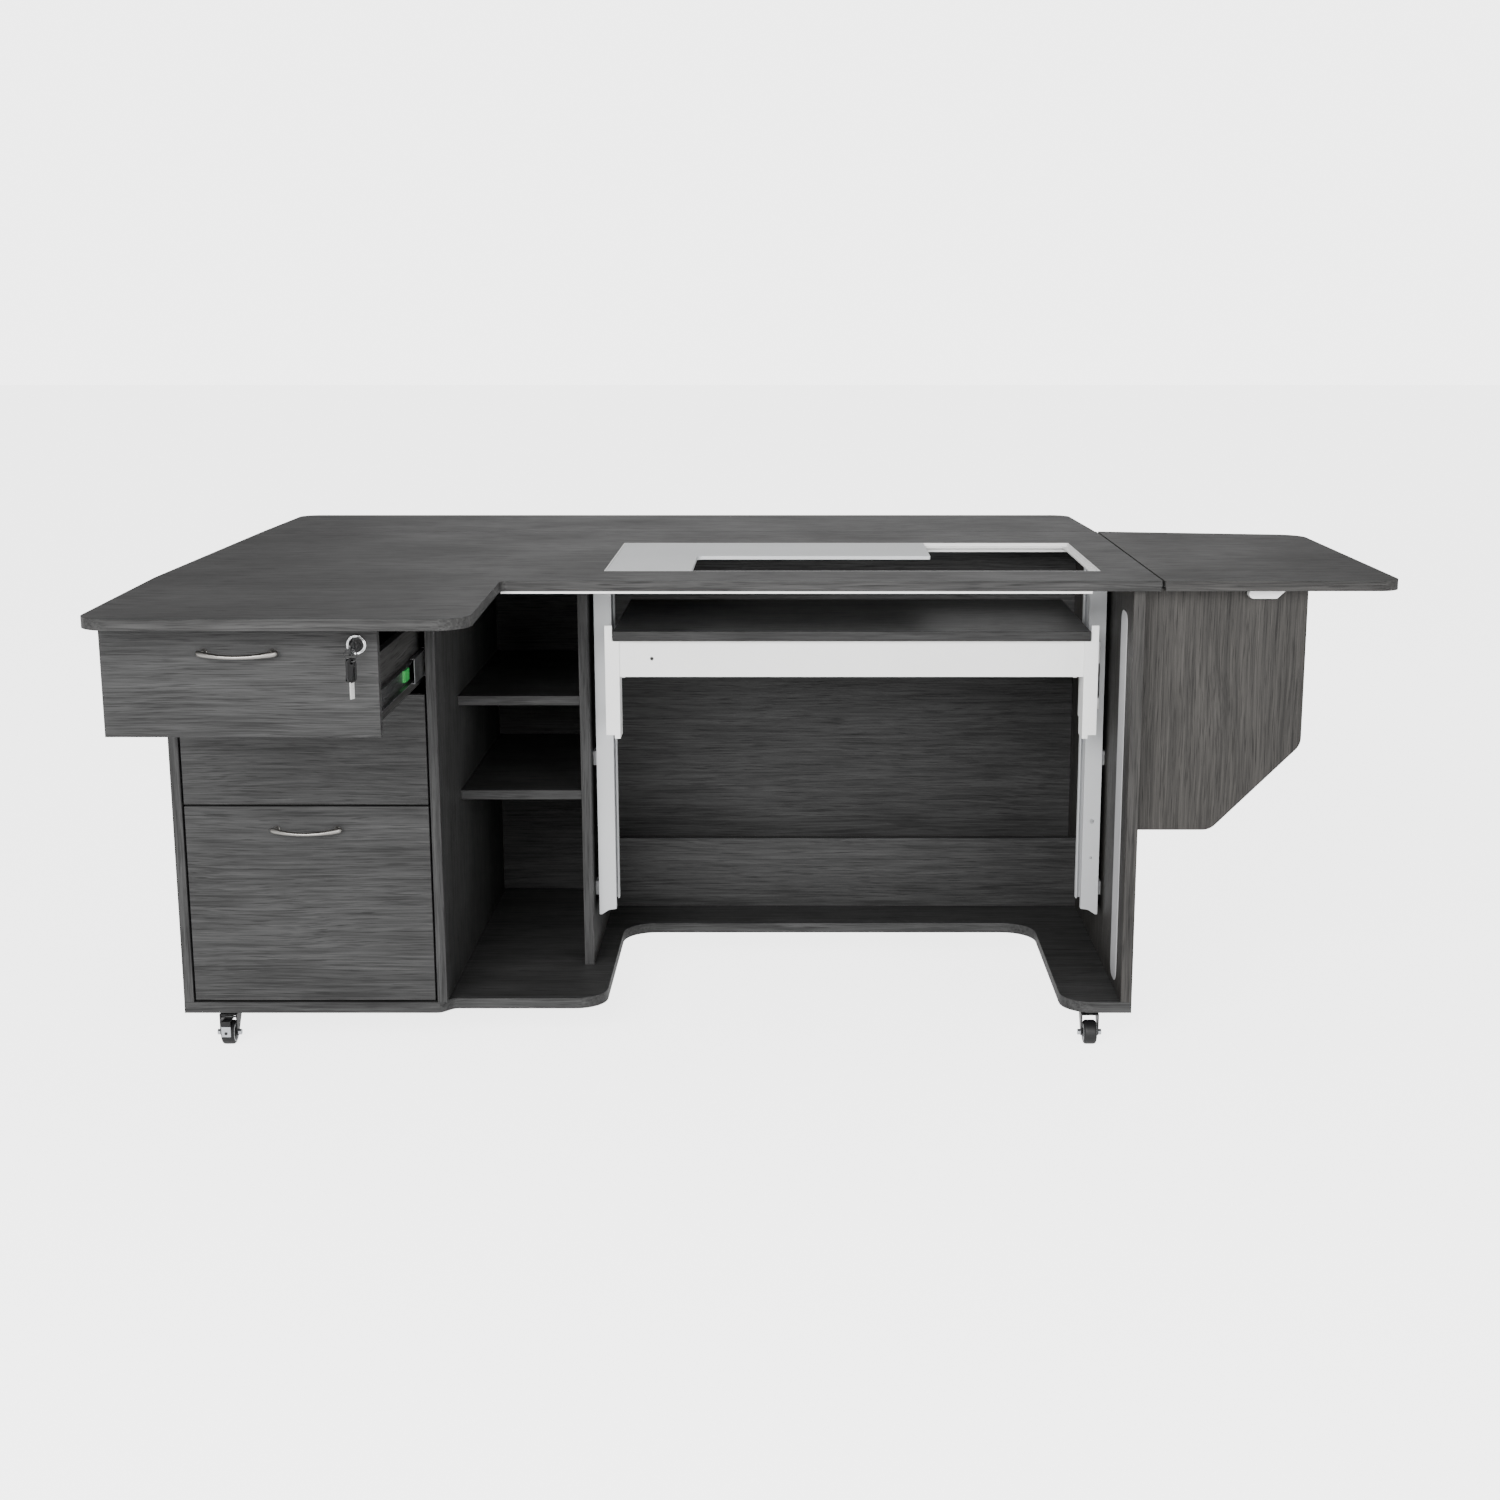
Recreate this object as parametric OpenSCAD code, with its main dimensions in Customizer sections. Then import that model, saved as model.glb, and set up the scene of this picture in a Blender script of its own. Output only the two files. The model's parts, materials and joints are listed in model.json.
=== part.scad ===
// Sewing cabinet: a worktop on a wheeled carcase, with three drawers, an open shelf bay, a kneehole,
// a machine lift under an opening, a rear leaf, and a side leaf that rests on a swing-out gate.
// Millimetres, +Z up. The origin is on the floor under the centre of the whole plan.
// Shapes are first drawn in the carcase frame: X from the outer left side, Y from the front plane
// going back, Z from the floor. place() then moves them to the origin.

/* [Carcase] */
// Width of the carcase over both end panels
carcase_w = 1540; // [1400:1:1860]
// Depth of the carcase
carcase_d = 700; // [640:1:850]
// Height of the worktop's upper face above the floor
worktop_h = 771.5; // [700:0.5:930]
// Thickness of the panels, shelves, tops and leaves
board = 16; // [13:0.1:20]
// Thickness of the base board and of the right end panel
thick_board = 18; // [15:0.1:22]
// Height of the casters, from the floor to the base board
caster_h = 63; // [60:1:80]
// Distance of the back panel's rear face from the carcase's rear edge
back_inset = 4; // [0:0.5:12]

/* [Bays] */
// Width of the drawer unit over both of its panels
drawer_unit_w = 428; // [380:1:515]
// Clear width of the open shelf bay
bay_w = 204; // [150:1:260]
// Distance that the shelf bay is set back from the front
bay_setback = 200; // [120:1:260]
// Height of the lower shelf's top above the base board
lower_shelf_h = 307; // [250:1:340]
// Height of the upper shelf's top above the base board
upper_shelf_h = 469; // [400:1:560]
// Height of the kick board at the back of the kneehole
kick_h = 132; // [80:1:200]
// Distance of the kick board in front of the back panel
kick_offset = 106; // [60:1:150]

/* [Base board] */
// Distance that the base board steps back in front of the shelf bay
base_step = 22; // [10:1:40]
// Depth of the base board's bridge across the back of the kneehole
base_bridge_d = 254; // [200:1:320]
// Width of the base board's right foot
foot_w = 112; // [90:1:150]
// Width of the base board beyond the shelf bay panel
base_lip = 35; // [10:1:60]

/* [Tops and leaves] */
// Overhang of the worktop at the sides, and at the front over the kneehole
overhang = 15; // [5:1:25]
// Length of the worktop's extension in front of the carcase, over the drawers
extension = 424; // [410:1:515]
// Distance that the extension's left edge tapers in
extension_taper = 26; // [0:1:40]
// Distance of the worktop's rear edge behind the carcase
rear_overhang = 17; // [10:1:30]
// Gap between the worktop and each leaf
leaf_gap = 3; // [2:0.5:5]
// Depth of the rear leaf
rear_leaf_d = 317; // [240:1:360]
// Width of the side leaf
side_leaf_w = 370; // [300:1:450]
// Radius of the worktop's front corners
top_corner_r = 50; // [20:1:70]
// Radius of the leaves' outer corners
leaf_corner_r = 35; // [10:1:60]

/* [Gate] */
// Width of the gate that carries the side leaf
gate_w = 259; // [200:1:310]
// Height of the gate
gate_h = 393; // [300:1:480]
// Size of the gate's cut lower corner
gate_chamfer = 140; // [60:1:190]
// Distance of the gate behind the front plane
gate_setback = 31; // [20:1:60]

/* [Drawers] */
// Height of the top drawer's front
top_front_h = 158; // [130:1:190]
// Height of the middle drawer's front
middle_front_h = 178; // [150:1:215]
// Gap between drawer fronts, and beside them
front_gap = 3; // [2:0.5:4]
// Travel of the full-extension runners
runner_travel = 400; // [350:1:480]
// Distance that the top drawer stands open
top_drawer_open = 348; // [0:1:348]
// Thickness of the drawer boxes' walls
box_wall = 12; // [9:0.5:15]
// Spacing of the handles' screws
handle_spacing = 96; // [64:1:128]
// Distance that a handle stands out
handle_reach = 26; // [20:1:35]
// Distance of a handle below the top of its front
handle_drop = 37; // [20:1:60]

/* [Machine lift] */
// Distance between the opening and the kneehole's side walls
opening_margin = 37.5; // [30:0.5:60]
// Depth of the machine opening
opening_d = 409; // [340:1:460]
// Distance of the opening behind the front plane
opening_front = 109; // [80:1:130]
// Depth of the platform's upper face below the worktop, at rest
platform_drop = 99.5; // [80:0.5:130]
// Lowest travel of the platform
lift_down = 290; // [200:1:300]
// Thickness of the machine insert
insert_t = 6; // [4:0.5:8]
// Width of the insert's left strip
insert_left_w = 138; // [80:1:200]
// Width of the insert over both strips
insert_w = 535; // [400:1:640]
// Depth of the insert's rear strip
insert_rear_d = 200; // [120:1:260]

/* [Casters] */
// Diameter of the wheels
wheel_d = 40; // [35:1:44]
// Width of the wheels
wheel_w = 22; // [16:1:24]
// Distance of the wheel's axle behind the swivel axis
trail = 16; // [10:1:20]
// Distance of the swivel axes from the carcase's sides
caster_inset_x = 63; // [40:1:70]
// Distance of the swivel axes from the carcase's front and rear edges
caster_inset_y = 47; // [36:1:70]

/* [Hidden] */

eps = 0.01;
$fn = 48;

// Colours
charcoal = [0.30, 0.30, 0.31];
warm_charcoal = [0.34, 0.32, 0.32];
white_steel = [0.90, 0.90, 0.89];
grey_steel = [0.74, 0.75, 0.76];
satin_nickel = [0.72, 0.70, 0.67];
black_part = [0.06, 0.06, 0.07];
zinc = [0.62, 0.63, 0.65];

// Heights
base_top = caster_h + thick_board;
top_under = worktop_h - board;

// Carcase places
unit_inner_x0 = board;
unit_inner_x1 = drawer_unit_w - board;
bay_x0 = drawer_unit_w;
bay_x1 = bay_x0 + bay_w;
knee_x0 = bay_x1 + board;
knee_x1 = carcase_w - thick_board;
knee_mid = (knee_x0 + knee_x1) / 2;
back_y = carcase_d - back_inset - board;

// Pale strip on the right end panel
strip_w = 58;
strip_y0 = 57;

// Worktop and leaves
top_x0 = -overhang;
top_x1 = carcase_w + overhang + 8;
top_front_y = -overhang - 2;
top_rear_y = carcase_d + rear_overhang;
extension_x1 = drawer_unit_w + 120;
side_leaf_x0 = top_x1 + leaf_gap;
side_leaf_x1 = side_leaf_x0 + side_leaf_w;
rear_leaf_y0 = top_rear_y + leaf_gap;
rear_leaf_y1 = rear_leaf_y0 + rear_leaf_d;
side_leaf_skew = 60;
rear_leaf_skew = 13;

// Hinges: the barrel lies in the gap, above the boards' lower faces
barrel_r = 3;
barrel_bore_r = 1.27;
hinge_pin_r = 1.2;
plate_t = 1.2;
plate_w = 22;
barrel_rise = 3.2;
knuckle = 60;
knuckle_clear = 0.4;
groove_run = 140;
side_hinge_x = top_x1 + leaf_gap / 2;
rear_hinge_y = top_rear_y + leaf_gap / 2;
flap_hinge_z = top_under + barrel_rise;
side_hinge_y0 = top_front_y + 40;
side_hinge_len = top_rear_y - top_front_y - 130;
rear_hinge_x0 = top_x0 + 60;
rear_hinge_len = top_x1 - top_x0 - 130;
gate_z1 = top_under - 0.5;
gate_z0 = gate_z1 - gate_h;
gate_x0 = carcase_w + 2;
gate_y1 = gate_setback + board;
gate_barrel_off = 3.4;
gate_hinge_x = carcase_w + gate_barrel_off;
gate_hinge_y = gate_y1 + gate_barrel_off;
gate_hinge_z0 = gate_z0 + 20;
gate_hinge_len = gate_h - 44;

// Rear leaf stays
stay_xs = [carcase_w * 0.26, carcase_w * 0.74];
stay_w = 20;
stay_t = 12;
stay_y = back_y + board + 12;
stay_pin_r = 3;
stay_reach = rear_leaf_y1 - 60 - stay_y;
stay_z = top_under - 0.8 - stay_t / 2 - stay_reach;
stay_len = stay_reach / cos(45);

// Machine opening, lift and rails
opening_x0 = knee_x0 + opening_margin;
opening_x1 = knee_x1 - opening_margin;
opening_y0 = opening_front;
opening_y1 = opening_front + opening_d;
liner_t = 2.5;
ledge_w = 8;
ledge_t = 3;
platform_side_gap = 11.5;
platform_z = worktop_h - platform_drop;
platform_y0 = opening_y0 + 6;
platform_y1 = opening_y1 - 18;
rail_gap = 8;
rail_w = 29;
rail_d = 80;
rail_y = 230;
rail_t = 2.5;
rail_lip = 13;
rail_z0 = base_top + 81;
rail_screw_zs = [rail_z0 + 40, rail_z0 + 270, top_under - 22];
screw_r = 1.95;
screw_hole_r = 2;
lip_rise = 9;
bracket_h = 181;
bracket_w = 23;
bracket_y = opening_front + 11;
steel_t = 3;
post_x = 3.5;
post_t = 4;
web_d = 180;
return_d = 45;
beam_h = 60;
beam_d = 25;
glide_clear = 3;
lift_up = platform_drop - board - lip_rise - 0.5;
pin_r = 4;
pin_hole_r = 4.3;
pin_z = platform_z - board - 81;
pin_y = rail_y + rail_d / 2;
pin_travel = 6;
strut_x = knee_x0 + rail_gap + rail_w / 2;
strut_y = rail_y + rail_d + 14;
strut_r = 9;
rod_r = 4;
rod_bore_r = 4.06;
strut_len = 235;
strut_z0 = rail_z0 + 14;
rod_rest = lift_down / 2;

// Drawers, numbered from the top
fronts_top = top_under - 5;
fronts_bottom = base_top + 4;
bottom_front_h = fronts_top - fronts_bottom - top_front_h - middle_front_h - 2 * front_gap;
front_heights = [top_front_h, middle_front_h, bottom_front_h];
front_zs = [fronts_top - top_front_h, fronts_top - top_front_h - front_gap - middle_front_h,
            fronts_bottom];
box_less = [58, 60, 90];
drawer_open = [top_drawer_open, 0, 0];
front_x0 = unit_inner_x0 + front_gap + 0.5;
front_x1 = unit_inner_x1 - front_gap;
front_mid = (front_x0 + front_x1) / 2;
runner_w = 12.7;
runner_side_clear = 0.3;
box_x0 = unit_inner_x0 + runner_w + runner_side_clear;
box_x1 = unit_inner_x1 - runner_w - runner_side_clear;
box_y0 = board;
box_d = runner_travel + 20;
box_rise = 11;
box_floor_t = 4;
runner_y = board + 2;
link_len = runner_travel * 0.8;
runner_rise = 36;
handle_r = 4;
handle_foot = 10;
handle_tilt = 18;

// Lock
lock_x = front_x1 - 29;
lock_z = fronts_top - 25.5;
lock_ring_r = 14;
lock_barrel_r = 9;
plug_r = 6.5;
plug_bore_r = 6.56;
cam_y = board + 6.3;
key_hole_y = -41;
key_ring_r = 9;
key_wire_r = 0.9;

// Casters: the swivel axes in plan
caster_at = [
    [caster_inset_x, caster_inset_y],
    [carcase_w - caster_inset_x, caster_inset_y],
    [caster_inset_x, carcase_d - caster_inset_y],
    [carcase_w - caster_inset_x, carcase_d - caster_inset_y]
];
axle_r = 3;
wheel_bore_r = 3.06;
kingpin_r = 4;
kingpin_bore_r = 4.06;
fork_gap = wheel_w / 2 + 1.5;
fork_t = 2;
fork_top = caster_h - 11;
caster_plate_t = 2.5;
caster_plate_half = 24;
caster_screw_at = 18;
crown_r = 17;
nut_t = 5;
pedal_pivot_z = wheel_d + 6;

// Centre of the plan, which the origin stands under
centre = [(top_x0 + side_leaf_x1) / 2, (-extension + rear_leaf_y1) / 2];

module place() {
    translate([-centre.x, -centre.y, 0]) children();
}

// ---------- helpers ----------

function unit(v) = v / norm(v);
function turned(v, a) = [v.x * cos(a) - v.y * sin(a), v.x * sin(a) + v.y * cos(a)];

// The arc that rounds corner q, between its neighbours p and n, with radius r
function round_corner(p, q, n, r, steps = 8) =
    let (
        a = unit(p - q), b = unit(n - q),
        half = acos(a * b) / 2,
        mid = q + unit(a + b) * r / sin(half),
        first = q + a * r / tan(half) - mid,
        side = a.x * b.y - a.y * b.x > 0 ? -1 : 1
    )
    [for (i = [0:steps]) mid + turned(first, side * (180 - 2 * half) * i / steps)];

// An outline from corners given as [x, y, radius], where a radius of 0 stays sharp
function rounded(c) =
    let (m = len(c))
    [for (i = [0:m - 1])
        let (q = [c[i].x, c[i].y],
             p = [c[(i + m - 1) % m].x, c[(i + m - 1) % m].y],
             n = [c[(i + 1) % m].x, c[(i + 1) % m].y])
        each c[i][2] > 0 ? round_corner(p, q, n, c[i][2]) : [q]];

// A box between two corners
module block(a, b) {
    translate(a) cube([b.x - a.x, b.y - a.y, b.z - a.z]);
}

// A rod or bore of radius r along an axis, from a point
module rod_x(p, r, l) translate(p) rotate([0, 90, 0]) cylinder(r = r, h = l);
module rod_y(p, r, l) translate(p) rotate([-90, 0, 0]) cylinder(r = r, h = l);
module rod_z(p, r, l) translate(p) cylinder(r = r, h = l);

// A plan outline given thickness upwards from z
module slab(points, z, t) {
    translate([0, 0, z]) linear_extrude(t) polygon(points);
}

// An outline in X and Z given thickness along +Y from y
module upright(points, y, t) {
    translate([0, y + t, 0]) rotate([90, 0, 0]) linear_extrude(t) polygon(points);
}

// Mirrors a shape across the middle of the kneehole
module across_knee() {
    translate([2 * knee_mid, 0, 0]) mirror([1, 0, 0]) children();
}

// Half of a piano hinge along +X with its barrel on the axis. The plate lies on the +Y side, and its
// mounting face is drop below the axis. Knuckles are every second one, from first (0 or 1).
module hinge_half(length, first, pinned, drop = barrel_r) {
    count = floor(length / knuckle);
    translate([0, barrel_r + knuckle_clear, -drop])
        cube([count * knuckle, plate_w - barrel_r - knuckle_clear, plate_t]);
    for (i = [first:2:count - 1]) translate([i * knuckle + knuckle_clear / 2, 0, 0])
        difference() {
            union() {
                rotate([0, 90, 0]) cylinder(r = barrel_r, h = knuckle - knuckle_clear, $fn = 24);
                translate([0, 0, -drop])
                    cube([knuckle - knuckle_clear, barrel_r + 2 * knuckle_clear, plate_t]);
            }
            translate([-1, 0, 0]) rotate([0, 90, 0])
                cylinder(r = barrel_bore_r, h = knuckle + 2, $fn = 24);
        }
    if (pinned) rotate([0, 90, 0])
        cylinder(r = hinge_pin_r, h = count * knuckle, $fn = 24);
}

// The space that a flap hinge needs in the lower corners of the boards it joins. The groove for the
// barrel runs on past both ends of the hinge, so that the flap's lower edge can turn there too.
module hinge_rebate(length) {
    translate([-groove_run, -barrel_r - 0.6, -barrel_rise - 1])
        cube([length + 2 * groove_run, 2 * barrel_r + 1.2, barrel_rise + barrel_r + 1.6]);
    translate([-2, -plate_w - 1, -barrel_rise - 1])
        cube([length + 4, 2 * plate_w + 2, 1 + barrel_rise - barrel_r + plate_t]);
}

module at_side_hinge() {
    translate([side_hinge_x, side_hinge_y0, flap_hinge_z]) rotate([0, 0, 90]) children();
}

module at_rear_hinge() {
    translate([rear_hinge_x0, rear_hinge_y, flap_hinge_z]) children();
}

module at_gate_hinge() {
    translate([gate_hinge_x, gate_hinge_y, gate_hinge_z0]) children();
}

// ---------- carcase ----------

module base_board() {
    back_edge = carcase_d - base_bridge_d;
    foot_x = carcase_w - foot_w;
    color(charcoal) place() difference() {
        slab(rounded([
            [0, 0, 0], [bay_x0 - 11, 0, 16], [bay_x0 + 8, base_step, 16],
            [knee_x0 + base_lip, base_step, 50], [knee_x0 + base_lip, back_edge, 58],
            [foot_x, back_edge, 58], [foot_x, 0, 52], [carcase_w, 0, 0],
            [carcase_w, carcase_d, 0], [0, carcase_d, 0]
        ]), caster_h, thick_board);
        for (c = caster_at) caster_screws(c, false);
    }
}

module upright_panel(x, t, y0, y1) {
    block([x, y0, base_top], [x + t, y1, top_under]);
}

module drawer_unit_left_panel() {
    color(charcoal) place() upright_panel(0, board, 0, carcase_d);
}

module drawer_unit_right_panel() {
    color(charcoal) place() upright_panel(unit_inner_x1, board, 0, back_y);
}

module shelf_bay_panel() {
    color(charcoal) place() difference() {
        upright_panel(bay_x1, board, bay_setback, back_y);
        rail_screws(false);
    }
}

module right_end_panel() {
    color(warm_charcoal) place() difference() {
        upright_panel(knee_x1, thick_board, 0, carcase_d);
        across_knee() rail_screws(false);
        side_strip_shape(1);
    }
}

module back_panel() {
    color(charcoal) place() block([board, back_y, base_top], [knee_x1, back_y + board, top_under]);
}

module kick_board() {
    y = back_y - kick_offset - board;
    color(charcoal) place() block([knee_x0, y, base_top], [knee_x1, y + board, base_top + kick_h]);
}

module shelves() {
    color(charcoal) place() for (h = [lower_shelf_h, upper_shelf_h])
        block([bay_x0, bay_setback + 2, base_top + h - board], [bay_x1, back_y, base_top + h]);
}

// The pale strip on the right end panel's inner face, sunk half its thickness into the panel
module side_strip_shape(proud) {
    z0 = base_top + 14;
    z1 = top_under - 45;
    translate([knee_x1 + 1, 0, 0]) mirror([1, 0, 0]) rotate([90, 0, 90])
        linear_extrude(1 + proud)
        polygon(rounded([[strip_y0, z0, 20], [strip_y0 + strip_w, z0, 20],
                         [strip_y0 + strip_w, z1, 20], [strip_y0, z1, 20]]));
}

module side_strip() {
    color(grey_steel) place() side_strip_shape(1);
}

// ---------- worktop ----------

module main_top() {
    taper_x = top_x0 + extension_taper;
    color(charcoal) place() difference() {
        slab(rounded([
            [taper_x, -extension, top_corner_r], [extension_x1, -extension, top_corner_r],
            [extension_x1 - 12, top_front_y, 12], [top_x1, top_front_y, 3],
            [top_x1, top_rear_y, 0], [top_x0, top_rear_y, 0], [top_x0 + 2, 30, 0]
        ]), top_under, board);
        block([opening_x0, opening_y0, top_under - 1], [opening_x1, opening_y1, worktop_h + 1]);
        at_side_hinge() hinge_rebate(side_hinge_len);
        at_rear_hinge() hinge_rebate(rear_hinge_len);
    }
}

module front_stiffener() {
    color(white_steel) place()
        block([extension_x1 - 12, top_front_y + 2, top_under - 4],
              [opening_x1 - 30, top_front_y + 30, top_under]);
}

// White lining of the opening, with ledges on the left, right and rear for the insert
module opening_liner() {
    ledge_z = worktop_h - insert_t - ledge_t;
    step = liner_t + ledge_w;
    color(white_steel) place() difference() {
        block([opening_x0, opening_y0, top_under], [opening_x1, opening_y1, worktop_h]);
        block([opening_x0 + liner_t, opening_y0 + liner_t, ledge_z + ledge_t],
              [opening_x1 - liner_t, opening_y1 - liner_t, worktop_h + 1]);
        block([opening_x0 + step, opening_y0 + liner_t, top_under - 1],
              [opening_x1 - step, opening_y1 - step, worktop_h]);
        block([opening_x0 + liner_t, opening_y0 + liner_t, top_under - 1],
              [opening_x1 - liner_t, opening_y1 - liner_t, ledge_z]);
    }
}

module machine_insert() {
    gap = 0.5;
    x0 = opening_x0 + liner_t + gap;
    y1 = opening_y1 - liner_t - gap;
    color([0.88, 0.89, 0.90]) place() slab(rounded([
        [x0, opening_y0 + liner_t + gap, 3], [x0 + insert_left_w, opening_y0 + liner_t + gap, 3],
        [x0 + insert_left_w, y1 - insert_rear_d, 12], [x0 + insert_w, y1 - insert_rear_d, 3],
        [x0 + insert_w, y1, 3], [x0, y1, 3]
    ]), worktop_h - insert_t, insert_t);
}

// ---------- leaves and gate ----------

module side_leaf() {
    color(warm_charcoal) place() difference() {
        slab(rounded([
            [side_leaf_x0, top_front_y, 3], [side_leaf_x1, top_front_y, leaf_corner_r],
            [side_leaf_x1, top_rear_y - side_leaf_skew, leaf_corner_r + 15],
            [side_leaf_x0, top_rear_y, 3]
        ]), top_under, board);
        at_side_hinge() hinge_rebate(side_hinge_len);
    }
}

module leaf_stop() {
    x0 = gate_x0 + gate_w - 97;
    z1 = top_under;
    color(white_steel) place() upright(rounded([
        [x0, z1 - 16, 7.9], [x0 + 44, z1 - 16, 4], [x0 + 61, z1, 0], [x0, z1, 7.9]
    ]), gate_setback - 17, 16.5);
}

module side_leaf_hinge() {
    color(zinc) place() at_side_hinge() mirror([0, 1, 0]) hinge_half(side_hinge_len, 1, false);
}

module side_gate() {
    color(warm_charcoal) place() upright(rounded([
        [gate_x0, gate_z0, 2], [gate_x0 + gate_w - gate_chamfer, gate_z0, 28],
        [gate_x0 + gate_w, gate_z0 + gate_chamfer, 28], [gate_x0 + gate_w, gate_z1, 2],
        [gate_x0, gate_z1, 2]
    ]), gate_setback, board);
}

// The hinge's plate lies flat on the gate's rear face
module gate_hinge() {
    color(zinc) place() at_gate_hinge()
        rotate(-120, [1, 1, 1]) hinge_half(gate_hinge_len, 1, false, gate_barrel_off);
}

module rear_leaf() {
    color(charcoal) place() difference() {
        slab(rounded([
            [top_x0, rear_leaf_y0, 3], [top_x1 - 2, rear_leaf_y0, 3],
            [top_x1 - 2 - rear_leaf_skew, rear_leaf_y1, leaf_corner_r],
            [top_x0 + 4, rear_leaf_y1, leaf_corner_r]
        ]), top_under, board);
        at_rear_hinge() hinge_rebate(rear_hinge_len);
    }
}

module rear_leaf_hinge() {
    color(zinc) place() at_rear_hinge() hinge_half(rear_hinge_len, 1, false);
}

// One swing-down stay, from its pivot to the rounded tip under the leaf
module rear_leaf_stays() {
    color(zinc) place() for (x = stay_xs)
        translate([x - stay_w / 2, stay_y, stay_z]) rotate([45, 0, 0]) difference() {
            union() {
                translate([0, 0, -stay_t / 2]) cube([stay_w, stay_len, stay_t]);
                rod_x([0, 0, 0], stay_t / 2, stay_w);
                rod_x([0, stay_len, 0], stay_t / 2, stay_w);
            }
            rod_x([-1, 0, 0], stay_pin_r + 0.06, stay_w + 2);
        }
}

// Fixed halves of the three hinges, the stays' brackets and the lock's catch
module fixed_hinge_plates() {
    color(zinc) place() {
        at_side_hinge() hinge_half(side_hinge_len, 0, true);
        at_rear_hinge() mirror([0, 1, 0]) hinge_half(rear_hinge_len, 0, true);
        at_gate_hinge() mirror([1, 0, -1])
            hinge_half(gate_hinge_len, 0, true, gate_barrel_off);
        for (x = stay_xs) stay_bracket(x);
        block([lock_x - 15, board + 1.5, lock_z + 12], [lock_x + 15, board + 4.5, top_under]);
    }
}

module stay_bracket(x) {
    y0 = back_y + board;
    half = stay_w / 2 + 0.5;
    block([x - half - 3, y0, stay_z - 20], [x + half + 3, y0 + 3, stay_z + 20]);
    for (s = [x - half - 3, x + half])
        block([s, y0, stay_z - 10], [s + 3, y0 + 18, stay_z + 10]);
    rod_x([x - half - 3, stay_y, stay_z], stay_pin_r, 2 * half + 6);
}

// ---------- drawers ----------

module drawer_front(i) {
    color(charcoal) place() translate([0, -drawer_open[i], 0]) difference() {
        block([front_x0, 0, front_zs[i]], [front_x1, board, front_zs[i] + front_heights[i]]);
        if (i == 0) rod_y([lock_x, -1, lock_z], lock_barrel_r, board + 2);
    }
}

module drawer_box(i) {
    z0 = front_zs[i] + box_rise;
    h = front_heights[i] - box_less[i];
    color(warm_charcoal) place() translate([0, -drawer_open[i], 0]) difference() {
        block([box_x0, box_y0, z0], [box_x1, box_y0 + box_d, z0 + h]);
        block([box_x0 + box_wall, box_y0 + box_wall, z0 + box_floor_t + 6],
              [box_x1 - box_wall, box_y0 + box_d - box_wall, z0 + h + 1]);
        block([box_x0 + box_wall, box_y0 + box_wall, z0 - 1],
              [box_x1 - box_wall, box_y0 + box_d - box_wall, z0 + 6]);
    }
}

// A bow handle: two feet, and an arc between them that leans forwards and a little down
module drawer_handle(i) {
    bow_half = handle_spacing / 2 + 6;
    sag = handle_reach - handle_r - handle_foot;
    bow_r = (bow_half * bow_half + sag * sag) / (2 * sag);
    sweep = 2 * asin(bow_half / bow_r);
    z = front_zs[i] + front_heights[i] - handle_drop;
    color(satin_nickel) place() translate([front_mid, -drawer_open[i], z]) {
        for (s = [-1, 1]) translate([s * handle_spacing / 2, -12.5, 0])
            rotate([-90, 0, 0]) cylinder(r = handle_r, h = 12.5, $fn = 32);
        translate([0, -handle_foot, 0]) rotate([handle_tilt, 0, 0])
            translate([0, bow_r - sag, 0]) rotate([0, 0, 270 - sweep / 2])
            rotate_extrude(angle = sweep) translate([bow_r, 0]) circle(r = handle_r, $fn = 24);
    }
}

// Profiles of the three runner members: a channel open towards +X
module channel(x0, x1, half_h, t) {
    difference() {
        translate([x0, -half_h]) square([x1 - x0, 2 * half_h]);
        translate([x0 + t, -half_h + t]) square([x1 - x0, 2 * half_h - 2 * t]);
    }
}

// A runner member on both sides of a drawer, shift mm further out than when it is closed
module runner_pair(i, shift, length = runner_travel) {
    z = front_zs[i] + box_rise + runner_rise;
    translate([0, runner_y + runner_travel - shift, z]) for (side = [0, 1])
        translate([side == 0 ? unit_inner_x0 : unit_inner_x1, 0, 0]) mirror([side, 0, 0])
        rotate([90, 0, 0]) linear_extrude(length) children();
}

module runner_outer_members() {
    color(zinc) place() for (i = [0:2]) runner_pair(i, 0) channel(0, 9, 22.5, 1.2);
}

module runner_links(i) {
    color(zinc) place() runner_pair(i, drawer_open[i] / 2, link_len) channel(2.5, 9.5, 19.5, 1.2);
}

// The members on the drawer box, each with its release clip
module drawer_runners(i) {
    color(zinc) place() {
        runner_pair(i, drawer_open[i]) translate([runner_w + runner_side_clear, 0])
            mirror([1, 0]) channel(0, 8, 15.5, 1.2);
        for (side = [0, 1]) release_clip(i, side);
    }
}

// A lever between the drawer box and the runner, near the middle of the runner's length
module release_clip(i, side) {
    z = front_zs[i] + box_rise + runner_rise;
    x = side == 0 ? unit_inner_x0 : unit_inner_x1;
    translate([x, runner_y - drawer_open[i] + 205, z]) mirror([side, 0, 0])
        block([8, 0, -9], [11.8, 34, 9]);
}

// ---------- lock and keys ----------

module at_lock() {
    place() translate([lock_x, -drawer_open[0], lock_z]) children();
}

module drawer_lock() {
    color([0.8, 0.8, 0.82]) at_lock() difference() {
        union() {
            rod_y([0, -3, 0], lock_ring_r, 3);
            rod_y([0, -0.5, 0], lock_barrel_r, board + 6.5);
        }
        rod_y([0, -4, 0], plug_bore_r, board + 12);
    }
}

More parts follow.
